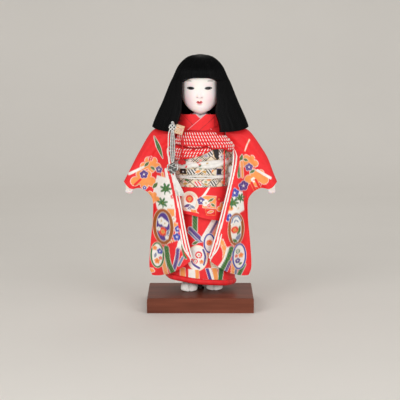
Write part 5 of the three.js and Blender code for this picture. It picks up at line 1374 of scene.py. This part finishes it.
class DOLL_OT_sleeves(DollStep, bpy.types.Operator):
    """Hang the long dyed sleeves with their lined openings and white edges"""
    bl_idname = "doll.sleeves"
    bl_label = "Sleeves"

    def execute(self, context):
        cols, rows = 104, 300
        t = np.linspace(0.0008, 1, rows)
        v = mix(t, t * t, 0.3)[:, None]
        u = np.linspace(0, 1, cols)[None]
        for name, side, table, tuck in (("left", 1, LEFT_SLEEVE, (0, 3.5, 4.5)), ("right", -1, RIGHT_SLEEVE, (9.5, 0, 0))):
            front, back = sleeve_sides(u, v, tuck)
            ripple = 0.9 * np.sin(0.16 * front[..., 0] + 0.035 * front[..., 2]) * smooth(v, 0.35, 0.6) * smooth(u, 0.05, 0.2)
            ripple = ripple + 0.7 * np.sin(0.3 * front[..., 0] + 0.25 * front[..., 2]) * smooth(0.3 - v, 0, 0.12) * smooth(v, 0.02, 0.1)
            front[..., 1] += ripple
            open_in = mix(0.8, 7, smooth(v, 0.3, 0.36) * smooth(0.97 - v, 0, 0.03))
            open_out = mix(0.6, 15, smooth(0.15 - v, 0, 0.03) * smooth(v, 0.01, 0.03))
            lining = []
            for edge, depth in ((-1, open_out), (0, open_in)):
                lip_front, lip_back = front[:, edge], back[:, edge]
                inward = front[:, edge + (1 if edge == 0 else -1)] - front[:, edge]
                inward = inward / np.maximum(1e-6, np.linalg.norm(inward, axis=1))[:, None]
                strip = []
                for share, squeeze in ((0.25, 0.8), (0.7, 0.72), (1.0, 0.6)):
                    reach = inward * depth * share
                    centre = (lip_front + lip_back) / 2
                    strip.append((centre + (lip_front - centre) * squeeze + reach, centre + (lip_back - centre) * squeeze + reach))
                lining.append(strip)
            loop = [front[:, k] for k in range(cols)] + [a for a, _ in lining[0]] + [b for _, b in reversed(lining[0])]
            loop += [back[:, k] for k in range(cols - 1, -1, -1)] + [b for _, b in lining[1]] + [a for a, _ in reversed(lining[1])]
            grid = np.stack(loop, 1)
            count = grid.shape[1]
            ids = np.arange(rows * count).reshape(rows, count)
            faces = quads(np.hstack([ids, ids[:, :1]])).tolist()
            pair = (2 * cols + 5 - np.arange(count)) % count
            for row in (0, rows - 1):
                for k in range(cols + 2):
                    a, b, c, e = ids[row, k], ids[row, k + 1], ids[row, pair[k + 1]], ids[row, pair[k]]
                    faces.append([a, b, c, e] if len({a, b, c, e}) == 4 else [a, b, e])
                first = [ids[row, k] for k in (count - 3, count - 2, count - 1, 0)]
                last = [ids[row, pair[0] + k] for k in (0, 1, 2, 3)]
                for k in range(3):
                    a, b, c, e = first[k], first[k + 1], last[2 - k], last[3 - k]
                    faces.append([a, b, c, e] if len({a, b, c, e}) == 4 else [a, b, c] if a == e else [a, b, e])
            points = grid * (side, 1, 1)
            dyer = Dyer(points[..., 0], points[..., 2], "red")
            dyer.motifs(table)
            dye = dyer.colour.reshape(rows, count, 3)
            dye[:, cols:cols + 6] = tint("crimson")
            dye[:, 2 * cols + 6:] = tint("crimson")
            away = np.linalg.norm((front - front[:, :1])[..., [0, 2]], axis=-1)
            band = smooth(v, 0.3, 0.42)
            wide = 14.5 * mix(0.3, 1, band) * mix(1, 0.55, smooth(v, 0.9, 1))
            share = away / wide
            stripe = (share < 1) & (v > 0.31)
            paint_as = np.where((abs(share - 0.5) < 0.11)[..., None], tint("white"), tint("red"))
            dye[:, :cols] = np.where(stripe[..., None], paint_as, dye[:, :cols])
            cloth = piece(f"dyed_{name}_sleeve", (points, faces), finish("crepe"), dye.reshape(-1, 3), weld=0.004)
            dress(cloth, f"{name}_arm", f"{name}_sleeve")

            line = np.linspace(0.352, 0.985, 90)
            edges = []
            for share in (0.09, 0.91):
                at = sleeve_sides(np.zeros_like(line), line, tuck)[0]
                reach = 14.5 * mix(0.3, 1, smooth(line, 0.3, 0.42)) * mix(1, 0.2, smooth(line, 0.9, 1))
                inward = sleeve_sides(np.full_like(line, 0.02), line, tuck)[0] - at
                inward /= np.linalg.norm(inward, axis=1)[:, None]
                edges.append(at + inward * (reach * share)[:, None] + (0, -0.25, 0))
            path = np.concatenate([edges[0], edges[1][::-1]]) * (side, 1, 1)
            wide = np.concatenate([mix(0.6, 1.3, smooth(line, 0.33, 0.5))] * 2)
            wide[90:] = wide[90:][::-1]
            rings = tube_rings(path, wide, 14, 0.5)
            form = skin(rings)
            trim = piece(f"white_{name}_sleeve_edge", form, finish("silk"), np.tile(tint("white"), (len(form[0]), 1)))
            dress(trim, f"{name}_arm", f"{name}_undersleeve_edge")
        return {"FINISHED"}


class DOLL_OT_hands(DollStep, bpy.types.Operator):
    """Shape the forearms with their small closed hands"""
    bl_idname = "doll.hands"
    bl_label = "Hands"

    def execute(self, context):
        arm = np.array([(45.2, 1, 272), (64.8, 0, 271), (90.8, -2, 253), (112.8, -5, 218), (127.8, -7, 190)])
        wrist = arm[-1]
        line = through(arm, np.linspace(0.58, 0.985, 30))
        for name, side in (("left", 1), ("right", -1)):
            parts = [skin(tube_rings(line, np.linspace(7.4, 6.2, 30), 24))]
            palm = wrist + np.array([(-0.6, 0, 3), (-0.3, -0.5, -2), (-0.6, -1, -6), (-1.6, -1.4, -10.5)])
            thin, wide = (6.1, 5.4, 5.9, 5.6), (6.2, 5.6, 4.8, 4.2)
            turn = turns(24)
            rings = np.array([np.stack([p[0] + a * np.sin(turn), p[1] + b * np.cos(turn), np.full(24, p[2])], -1)
                              for p, a, b in zip(palm, thin, wide)])
            parts.append(skin(rings))
            for across, long in ((-4.6, 0.92), (-1.5, 1.08), (1.5, 1.04), (4.4, 0.86)):
                root = wrist + np.array((across - 0.8, -1.2 + 0.35 * across, -10))
                finger = root + long * np.array([(0, 0, 0), (-0.2, -0.6, -3.0), (-0.6, 1.4, -5.4), (-0.8, 4.0, -4.6)])
                path = through(finger, np.linspace(0, 1, 16))
                parts.append(skin(tube_rings(path, np.linspace(2.25, 1.7, 16), 12)))
                parts.append(skin(ball(path[-1], (1.7, 1.7, 1.7), 8, 12)))
            thumb = wrist + np.array([(-4.0, -2.6, -3), (-6.6, -4.2, -7), (-6.0, -5.0, -11.5)])
            path = through(thumb, np.linspace(0, 1, 14))
            parts.append(skin(tube_rings(path, np.linspace(2.6, 1.8, 14), 12)))
            parts.append(skin(ball(path[-1], (1.8, 1.8, 1.8), 8, 12)))
            form = joined(*parts)
            hand = piece(f"{name}_hand", (form[0] * (side, 1, 1), form[1]), finish("gofun"), fuse=0.42)
            points = np.array([p.co[:] for p in hand.data.vertices]) * 1000 - RAISE
            tips = smooth(wrist[2] - 10 - points[:, 2], 0, 6)
            paint(hand.data, mix(tint("skin"), tint("blush"), 0.35 * tips[:, None]))
            dress(hand, f"{name}_arm", f"{name}_forearm")
        return {"FINISHED"}


FACE_X, EYE_H, EYE_X = -1.6, 0.455, 15.6


def face_relief(x, h):
    """How far the painted face stands out of the plain oval, in millimetres."""
    x = x - FACE_X
    out = 2.7 * hump(x, 4.0) * hump(h - 0.31, 0.05) + 0.5 * hump(x, 3.0) * hump(h - 0.39, 0.07)
    out += 0.8 * (hump(x - 3.6, 1.9) + hump(x + 3.6, 1.9)) * hump(h - 0.3, 0.022)
    out += 1.2 * hump(x, 5.6) * hump(h - 0.213, 0.018) * (1 - 0.3 * hump(x, 1.1)) + 1.3 * hump(x, 4.2) * hump(h - 0.182, 0.014)
    out -= 1.1 * hump(x, 5.0) * hump(h - 0.198, 0.0055) + 1.0 * hump(x, 6.0) * hump(h - 0.148, 0.018)
    out -= 0.4 * hump(x, 1.3) * hump(h - 0.25, 0.02)
    out += 1.0 * hump(x, 9) * hump(h - 0.07, 0.05)
    for side in (-1, 1):
        out += 0.9 * hump(x - side * 17, 10) * hump(h - 0.26, 0.09)
        out -= 0.8 * hump(x - side * EYE_X, 8.5) * hump(h - 0.46, 0.05)
        out += 0.5 * hump(x - side * EYE_X, 7.5) * hump(h - 0.502, 0.02)
        out += 0.3 * hump(x - side * EYE_X, 7.0) * hump(h - 0.41, 0.016)
    return out


def head_at(angle, h, off=0.0):
    front, back = face(h, 1) + off, face(h, 2) + off
    x = (face(h) + off) * np.sin(angle)
    y = (back - front) / 2 - (front + back) / 2 * np.cos(angle)
    relief = np.where(np.cos(angle) > 0, face_relief(x, h) * smooth(np.cos(angle), 0, 0.3), 0)
    return np.stack(np.broadcast_arrays(x, y - relief, CHIN + HEAD_HIGH * h), -1)


class DOLL_OT_head(DollStep, bpy.types.Operator):
    """Shape and paint the head, the neck and the glass eyes"""
    bl_idname = "doll.head"
    bl_label = "Head and eyes"

    def execute(self, context):
        t = np.linspace(-1, 1, 240, endpoint=False)[None]
        angle = HALF_TURN * (0.5 * t + 0.5 * t ** 3)
        h = np.concatenate([np.linspace(-0.0275, 0.03, 20, endpoint=False), np.linspace(0.03, 0.64, 150),
                            np.linspace(0.65, 0.999, 24)])[:, None]
        grid = head_at(angle, h)
        form = skin(grid)
        points = form[0]
        x, high = points[:, 0] - FACE_X, (points[:, 2] - CHIN) / HEAD_HIGH
        fore = points[:, 1] < 0
        dye = np.tile(tint("skin"), (len(points), 1))

        def lay(cover, name):
            nonlocal dye
            dye = mix(dye, tint(name), (np.clip(cover, 0, 1) * fore)[:, None])

        for side in (-1, 1):
            dx = (x - side * EYE_X) / 6.6
            lay(0.42 * hump(x - side * 22, 11) * hump(high - 0.24, 0.14), "blush")
            lay(0.25 * hump(x - side * 15, 9) * hump(high - 0.52, 0.035), "blush")
            bow = 0.588 + 0.008 * hump(x - side * 18, 6)
            lay(0.6 * smooth(6.2 - abs(x - side * 19), 0, 3) * hump(high - bow, 0.011), "ink")
            lid = EYE_H + 0.031 * np.sqrt(np.maximum(0, 1 - np.minimum(1, abs(dx)) ** 2.4))
            lay(0.85 * np.clip(1.2 - abs(high - lid + 0.002) / 0.006, 0, 1) * (abs(dx) < 1.03), "ink")
            lay(0.12 * hump(high - lid - 0.024, 0.006) * smooth(1.1 - abs(dx), 0, 0.4), "ink")
            # Painted shade: the nostrils are dark dashes, as the nose has no holes.
            lay(0.6 * hump(x - side * 3.9, 1.8) * hump(high - 0.2915, 0.008), "ink")
        rise = (high - 0.198) * HEAD_HIGH
        bow = 0.5 + 2.1 * hump(abs(x) - 2.5, 1.9)
        upper = np.minimum(bow - rise, rise + 0.7) / 0.45 + 0.5
        lay(np.clip(upper, 0, 1) * np.clip((5.9 - abs(x)) / 1.1, 0, 1), "lips")
        lower = np.clip((1 - np.hypot(x / 4.0, (rise + 1.6) / 2.1)) / 0.25 + 0.4, 0, 1) * (rise < -0.5)
        lay(0.9 * lower, "lips")
        lay(0.55 * lower * hump(rise + 2.4, 1.1), "blush")
        lay(0.5 * hump(rise + 0.6, 0.3) * np.clip((5.4 - abs(x)) / 1, 0, 1), "ink")
        # Painted shadow in the hollow under the lower lip.
        lay(0.3 * smooth(5.6 - abs(x), 0, 2.5) * hump(rise + 5.0 - 0.03 * x * x, 0.75), "ink")
        # Painted reflection: the red collar's pink along the underside of the jaw.
        lay(0.35 * smooth(0.05 - high, 0, 0.06), "blush")
        head = piece("painted_head", form, finish("gofun"), dye, sharp=80)
        dress(head, "head", "head")
        neck = np.array([(0, 0.4, z) for z in np.linspace(297, 341, 24)])
        throat = skin(tube_rings(neck, 11.3 + 0.5 * np.linspace(0, 1, 24) ** 2, 48))
        low = smooth(throat[0][:, 2], 316, 300)
        neck = piece("painted_neck", throat, finish("gofun"), mix(tint("skin"), tint("blush"), 0.6 + 0 * low[:, None]))
        dress(neck, "head")

        s, r = turns(96)[None], np.linspace(0.02, 1, 26)[:, None]
        for name, side in (("left", 1), ("right", -1)):
            dx = r * np.cos(s)
            up = np.where(np.sin(s) > 0, 2.9, 2.3) * np.sign(np.sin(s)) * abs(np.sin(s)) ** 1.2 * r
            x = FACE_X + side * EYE_X + 6.3 * dx
            high = EYE_H + (up + 0.25 * side * dx) / HEAD_HIGH
            surface = head_at(np.arcsin(np.clip(x / face(high), -1, 1)), high)
            bulge = 0.35 + 0.75 * np.sqrt(np.maximum(0, 1 - r ** 2)) + 0 * s
            outside, inside = surface.copy(), surface.copy()
            outside[..., 1] -= bulge
            inside[..., 1] += 1.5
            ids = np.arange(outside.shape[0] * outside.shape[1]).reshape(outside.shape[:2])
            loop = np.hstack([ids, ids[:, :1]])
            far = ids.size + loop
            faces = quads(loop).tolist() + quads(far[:, ::-1]).tolist()
            faces += quads(np.stack([loop[-1], far[-1]])).tolist() + [ids[0].tolist(), (ids.size + ids[0]).tolist()]
            iris = abs(x - FACE_X - side * (EYE_X - 0.5))
            dye = mix(tint("white") * 0.3, tint("black") * 0.3, np.clip((4.6 - iris) / 0.7, 0, 1).reshape(-1, 1))
            dye = mix(dye, tint("ink") * 0.3, smooth(r + 0 * s, 0.7, 0.9).reshape(-1, 1))
            dye = np.concatenate([dye, dye])
            eye = piece(f"{name}_glass_eye", (np.concatenate([outside.reshape(-1, 3), inside.reshape(-1, 3)]), faces),
                        finish("eye"), dye)
            dress(eye, "head", f"{name}_eye")
        return {"FINISHED"}


def lock_edge(side, drop):
    """Turn from the front at which the hair beside the face begins."""
    at = 33.8 + 9 * smooth(-drop, 92, 128) if side < 0 else 30 - 2.6 * hump(drop + 97, 9) + 6 * smooth(-drop, 100, 130)
    return np.arcsin(np.clip(at / hair_rows(drop), -1, 1))


class DOLL_OT_hair(DollStep, bpy.types.Operator):
    """Lay the cut hair: the cap with its straight fringe, and the hanging sides and back"""
    bl_idname = "doll.hair"
    bl_label = "Hair"

    def execute(self, context):
        rng = np.random.default_rng(7)
        cols = 420
        angle = turns(cols)[None]
        comb = 0.22 * np.sin(97 * angle) + 0.18 * np.sin(61 * angle + 1) + 0.12 * np.sin(151 * angle + 2)

        def rim(angle):
            across = np.where(np.cos(angle) > 0, abs(47 * np.sin(angle)) / 29.4, 2)
            return np.maximum(-48, -40.2 - 3.6 * np.minimum(1.3, across) ** 3)

        v = np.linspace(0.03, 1, 70)[:, None]
        outer = hair_at(angle, rim(angle) * v ** 1.4, 0.15 - comb * smooth(v, 0.1, 0.5))
        low = np.linspace(0.02, 1, 16)[:, None]
        top_h = (HAIR_TOP + rim(angle) - CHIN) / HEAD_HIGH
        h = np.minimum(0.998, mix(0.998, top_h, low ** 1.3))
        inner = head_at(angle, h, 1.0)
        form = shell(outer, inner)
        points = np.concatenate([form[0], [(0, 0, HAIR_TOP - 0.2), (0, 0, CHIN + HEAD_HIGH + 1.2)]])
        faces = form[1].tolist()
        start = outer.shape[0] * cols
        faces = [f for f in faces if not (set(f) <= (set(range(cols)) | set(range(start, start + cols))))]
        for k in range(cols):
            faces.append([k, (k + 1) % cols, len(points) - 2])
            faces.append([start + k, start + (k + 1) % cols, len(points) - 1])
        cap = piece("hair_fringe_cap", (points, faces), finish("hair"), sharp=60)
        dress(cap, "head", "hair_cap")

        u, v = np.linspace(-1, 1, 301)[None], np.linspace(0, 1, 60)[:, None]

        def hang(u, v, off):
            drop0 = mix(-46, -131, v)
            first = np.where(u < 0, lock_edge(-1, drop0), lock_edge(1, drop0))
            angle = np.where(u < 0, -1, 1) * mix(HALF_TURN, first, abs(u))
            drop = mix(-46, mix(-135, -128, abs(np.sin(angle)) ** 6), v)
            edge = smooth(abs(u), 0.72, 1)
            thick = mix(mix(6, 12, v), mix(3, np.where(u < 0, 4, 7), v), edge)
            return hair_at(angle, drop, off(thick)), angle, drop

        def ruffle(thick):
            return 0.1 - 0.2 * np.sin(150 * u) - 0.15 * np.sin(93 * u + 1)

        outer = hang(u, v, ruffle)[0]
        inner = hang(u, v, lambda thick: thick)[0]
        locks = piece("hanging_hair_locks", shell(outer, inner, ring=False), finish("hair"), weld=0.01, sharp=60)
        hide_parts("hanging_hair")
        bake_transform(locks)

        count = sizes().strands
        place = rng.uniform(0, FULL_TURN, count // 2)[:, None]
        t = np.linspace(0.1, 1, 12)[None]
        drop = rim(place) * t ** 1.4 - 0.3
        paths = hair_at(place + 0.02 * rng.normal(size=place.shape) * t, np.maximum(drop, -48), -0.12)
        over = grown("hair_strands_top", "strands", *lines(paths), None, Radius=sizes().strand, Sides=4, Finish=finish("hair"))
        dress(over, "head")
        u = rng.uniform(-0.985, 0.985, count)[:, None]
        t = np.linspace(0, 0.998, 14)[None]
        paths = hang(u + 0.004 * rng.normal(size=u.shape) * t, t * rng.uniform(0.985, 1.0, u.shape), lambda thick: -0.1)[0]
        over = grown("hair_strands_hanging", "strands", *lines(paths), None, Radius=sizes().strand, Sides=4, Finish=finish("hair"))
        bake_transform(over)
        return {"FINISHED"}


class DOLL_OT_purse(DollStep, bpy.types.Operator):
    """Make the brocade chest purse and the silver tassel"""
    bl_idname = "doll.purse"
    bl_label = "Purse and tassel"

    def execute(self, context):
        low, high = (np.array(c) * 1000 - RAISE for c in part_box("chest_purse"))
        middle, half, lean = (low + high) / 2, (7.8, 2.5, 8.3), math.radians(17)
        u, v = np.linspace(-1, 1, 44)[None], np.linspace(-1, 1, 50)[:, None]
        sides = []
        for way in (-1, 1):
            puff = np.maximum(0, 1 - u ** 6) ** 0.5 * np.maximum(0, 1 - v ** 6) ** 0.5
            deep = way * half[1] * (0.25 + 0.75 * puff)
            flap = -0.35 * hump(v - 0.25 - 0.25 * u * u, 0.05) * puff if way < 0 else 0
            sides.append(np.stack(np.broadcast_arrays(half[0] * u, deep - flap, half[2] * v), -1))
        flat, faces = shell(sides[0], sides[1], ring=False)
        d = Dyer(flat[:, 0], flat[:, 2], "gold")
        d.lay(np.full(d.x.shape, 0.5), "cream")
        d.lay(np.full(d.x.shape, 0.35), "orange")
        d.motifs([("leaf", (-3, 3.6), 7, 3, "orange", 0.5), ("leaf", (4, -5.4), 6, 2.6, "orange", -0.4), ("plum", (3.4, 0.6), 2.6, "red", "orange"),
                  ("leaf", (-3.4, -4), 7, 2.6, "gold", 0.9)])
        hatch = ((d.x - 2 * d.z) / 1.5) % 1
        d.lay(0.3 * (hatch < 0.5), "cream")
        d.lay(0.5 * d.edge(0.35 - abs(d.z - 2.5 - 2.5 * (d.x / half[0]) ** 2)), "brown")
        x, y, z = flat.T
        form = np.stack([x * math.cos(lean) + z * math.sin(lean), y, z * math.cos(lean) - x * math.sin(lean)], -1) + middle, faces
        purse = piece("brocade_purse", form, finish("brocade"), d.colour)
        dress(purse, "torso", "chest_purse")

        low, high = (np.array(c) * 1000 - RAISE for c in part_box("tassel_top_knot"))
        middle, half = (low + high) / 2, (high - low) / 2

        def braid(rise, turn):
            return 1 + 0.09 * np.cos(5 * turn + 5 * rise) * np.cos(rise) + 0.09 * np.cos(5 * turn - 5 * rise) * np.cos(rise)

        rings = ball(middle, half * 0.9, 44, 72, braid)
        turn, w = turns(28)[:, None, None], turns(8)[None, :, None]
        out = np.concatenate([np.sin(turn), 0 * turn, np.cos(turn)], -1)
        eyelet = np.array((-48.5, -64.5, 304)) + out * (1.75 + 0.5 * np.cos(w)) + np.sin(w) * np.array((0, 0.5, 0))
        form = joined(skin(rings), torus(eyelet))
        deep = np.linalg.norm((rings - middle) / half, axis=-1)
        dark = np.concatenate([smooth(deep, 0.78, 1.0).ravel(), [0.5, 0.5], np.full(28 * 8, 1.0)])
        knot = piece("silver_top_knot", form, finish("silver"), mix(tint("black") * 1.2, tint("silver") * 1.15, smooth(dark, 0.15, 0.6)[:, None]))
        dress(knot, "tassel", "tassel_top_knot")

        low, high = (np.array(c) * 1000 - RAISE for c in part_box("tassel_lower_knot"))
        middle, half = (low + high) / 2, (high - low) / 2
        parts = [skin(ball(middle, half * (0.62, 0.9, 0.8), 30, 48, braid))]
        for way in (-1, 1):
            turn = turns(40)
            loop = np.stack([middle[0] + way * half[0] * (0.62 + 0.24 * np.cos(turn)), middle[1] + 0.15 * half[1] * np.sin(2 * turn),
                             middle[2] + half[2] * (0.15 + 0.42 * np.sin(turn))], -1)
            side = np.stack([np.cos(turn) * way, 0 * turn, np.sin(turn)], -1)
            w = turns(12)
            grid = loop[:, None] + 1.3 * (np.cos(w)[None, :, None] * side[:, None] + np.sin(w)[None, :, None] * np.array((0, 1.0, 0)))
            parts.append(torus(grid))
        for way, tilt in ((-0.75, 0.5), (-0.4, -0.7), (0, 0.6), (0.4, -0.6), (0.75, 0.5)):
            turn = turns(48)
            band = np.stack([middle[0] + half[0] * 0.64 * math.cos(way) * np.sin(turn), middle[1] - half[1] * 0.92 * math.cos(way) * np.cos(turn),
                             middle[2] + half[2] * (0.9 * math.sin(way) + 0.4 * tilt * np.sin(turn))], -1)
            w = turns(8)
            side = np.stack([np.sin(turn), -np.cos(turn), 0 * turn], -1)
            grid = band[:, None] + 0.75 * (np.cos(w)[None, :, None] * side[:, None] + np.sin(w)[None, :, None] * np.array((0, 0, 1.0)))
            parts.append(torus(grid))
        form = joined(*parts)
        grain = 0.5 + 0.5 * np.sin(1.1 * form[0][:, 0] + 1.2 * form[0][:, 2]) * np.sin(1.2 * form[0][:, 0] - 1.0 * form[0][:, 2])
        tone = np.where(np.arange(len(grain)) < len(parts[0][0]), 0.16, mix(0.4, 1.2, smooth(grain, 0.25, 0.6)))
        knot = piece("silver_lower_knot", form, finish("silver"), tint("silver") * tone[:, None])
        dress(knot, "tassel", "tassel_lower_knot")

        path = through([(-41.8, -38, 294.2), (-45.1, -38.8, 296.2), (-46.8, -51.3, 303.6), (-48.5, -65.6, 304)], np.linspace(0, 1, 40))
        form = skin(tube_rings(path, 0.9, 10))
        loop = piece("silver_loop", form, finish("silver"), np.tile(tint("silver"), (len(form[0]), 1)))
        dress(loop, "tassel" if "tassel_loop" in frame["record"]["behaviour"]["bodies"]["tassel"] else "torso", "tassel_loop")

        low, high = (np.array(c) * 1000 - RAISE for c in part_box("tassel_fringe"))
        rng = np.random.default_rng(11)
        count = sizes().threads
        spread = rng.uniform(-1, 1, (count, 2))
        spread *= np.minimum(1, 1 / np.maximum(1e-6, np.linalg.norm(spread, axis=1)))[:, None]
        t = np.linspace(0, 1, 10)[None]
        start, stop = np.array((-47.5, -64.5, high[2] + 0.6)), np.array((-34.5, -71.5, low[2]))
        reach = mix(2.4, 7.9, t ** 0.8)
        bow = np.sin(HALF_TURN * t) * rng.normal(0, 0.35, (count, 1))
        paths = np.stack([mix(start[0], stop[0], t) + reach * spread[:, :1] + bow, mix(start[1], stop[1], t) + 0.36 * reach * spread[:, 1:] + 0.4 * bow,
                          mix(start[2], stop[2] + rng.uniform(0, 1.2, (count, 1)), t)], -1)
        fringe = grown("white_fringe", "strands", *lines(paths), "white", Radius=sizes().thread, Sides=5, Finish=finish("braid"))
        dress(fringe, "tassel", "tassel_fringe")
        return {"FINISHED"}


STEPS = (DOLL_OT_stage, DOLL_OT_cords, DOLL_OT_stand, DOLL_OT_feet, DOLL_OT_skirt, DOLL_OT_bodice, DOLL_OT_obi, DOLL_OT_scarf,
         DOLL_OT_obijime, DOLL_OT_sleeves, DOLL_OT_hands, DOLL_OT_head, DOLL_OT_hair, DOLL_OT_purse)


class DOLL_PT_dressing(bpy.types.Panel):
    """Steps, sizes and colours of the doll"""
    bl_label = "Doll"
    bl_idname = "DOLL_PT_dressing"
    bl_space_type = "VIEW_3D"
    bl_region_type = "UI"
    bl_category = "Doll"

    def draw(self, context):
        column = self.layout.column(align=True)
        for step in STEPS:
            column.operator(step.bl_idname)
        for group in (context.scene.doll_sizes, context.scene.doll_stage, context.scene.doll_colours):
            box = self.layout.box()
            for name in group.__annotations__:
                box.prop(group, name)


CLASSES = (DollColours, DollSizes, StageLook, *STEPS, DOLL_PT_dressing)


def register():
    for each in CLASSES:
        bpy.utils.register_class(each)
    bpy.types.Scene.doll_colours = PointerProperty(type=DollColours)
    bpy.types.Scene.doll_sizes = PointerProperty(type=DollSizes)
    bpy.types.Scene.doll_stage = PointerProperty(type=StageLook)


def unregister():
    for name in ("doll_colours", "doll_sizes", "doll_stage"):
        delattr(bpy.types.Scene, name)
    for each in reversed(CLASSES):
        bpy.utils.unregister_class(each)


def main():
    register()
    for step in STEPS:
        group, name = step.bl_idname.split(".")
        getattr(getattr(bpy.ops, group), name)()


if __name__ == "__main__":
    main()
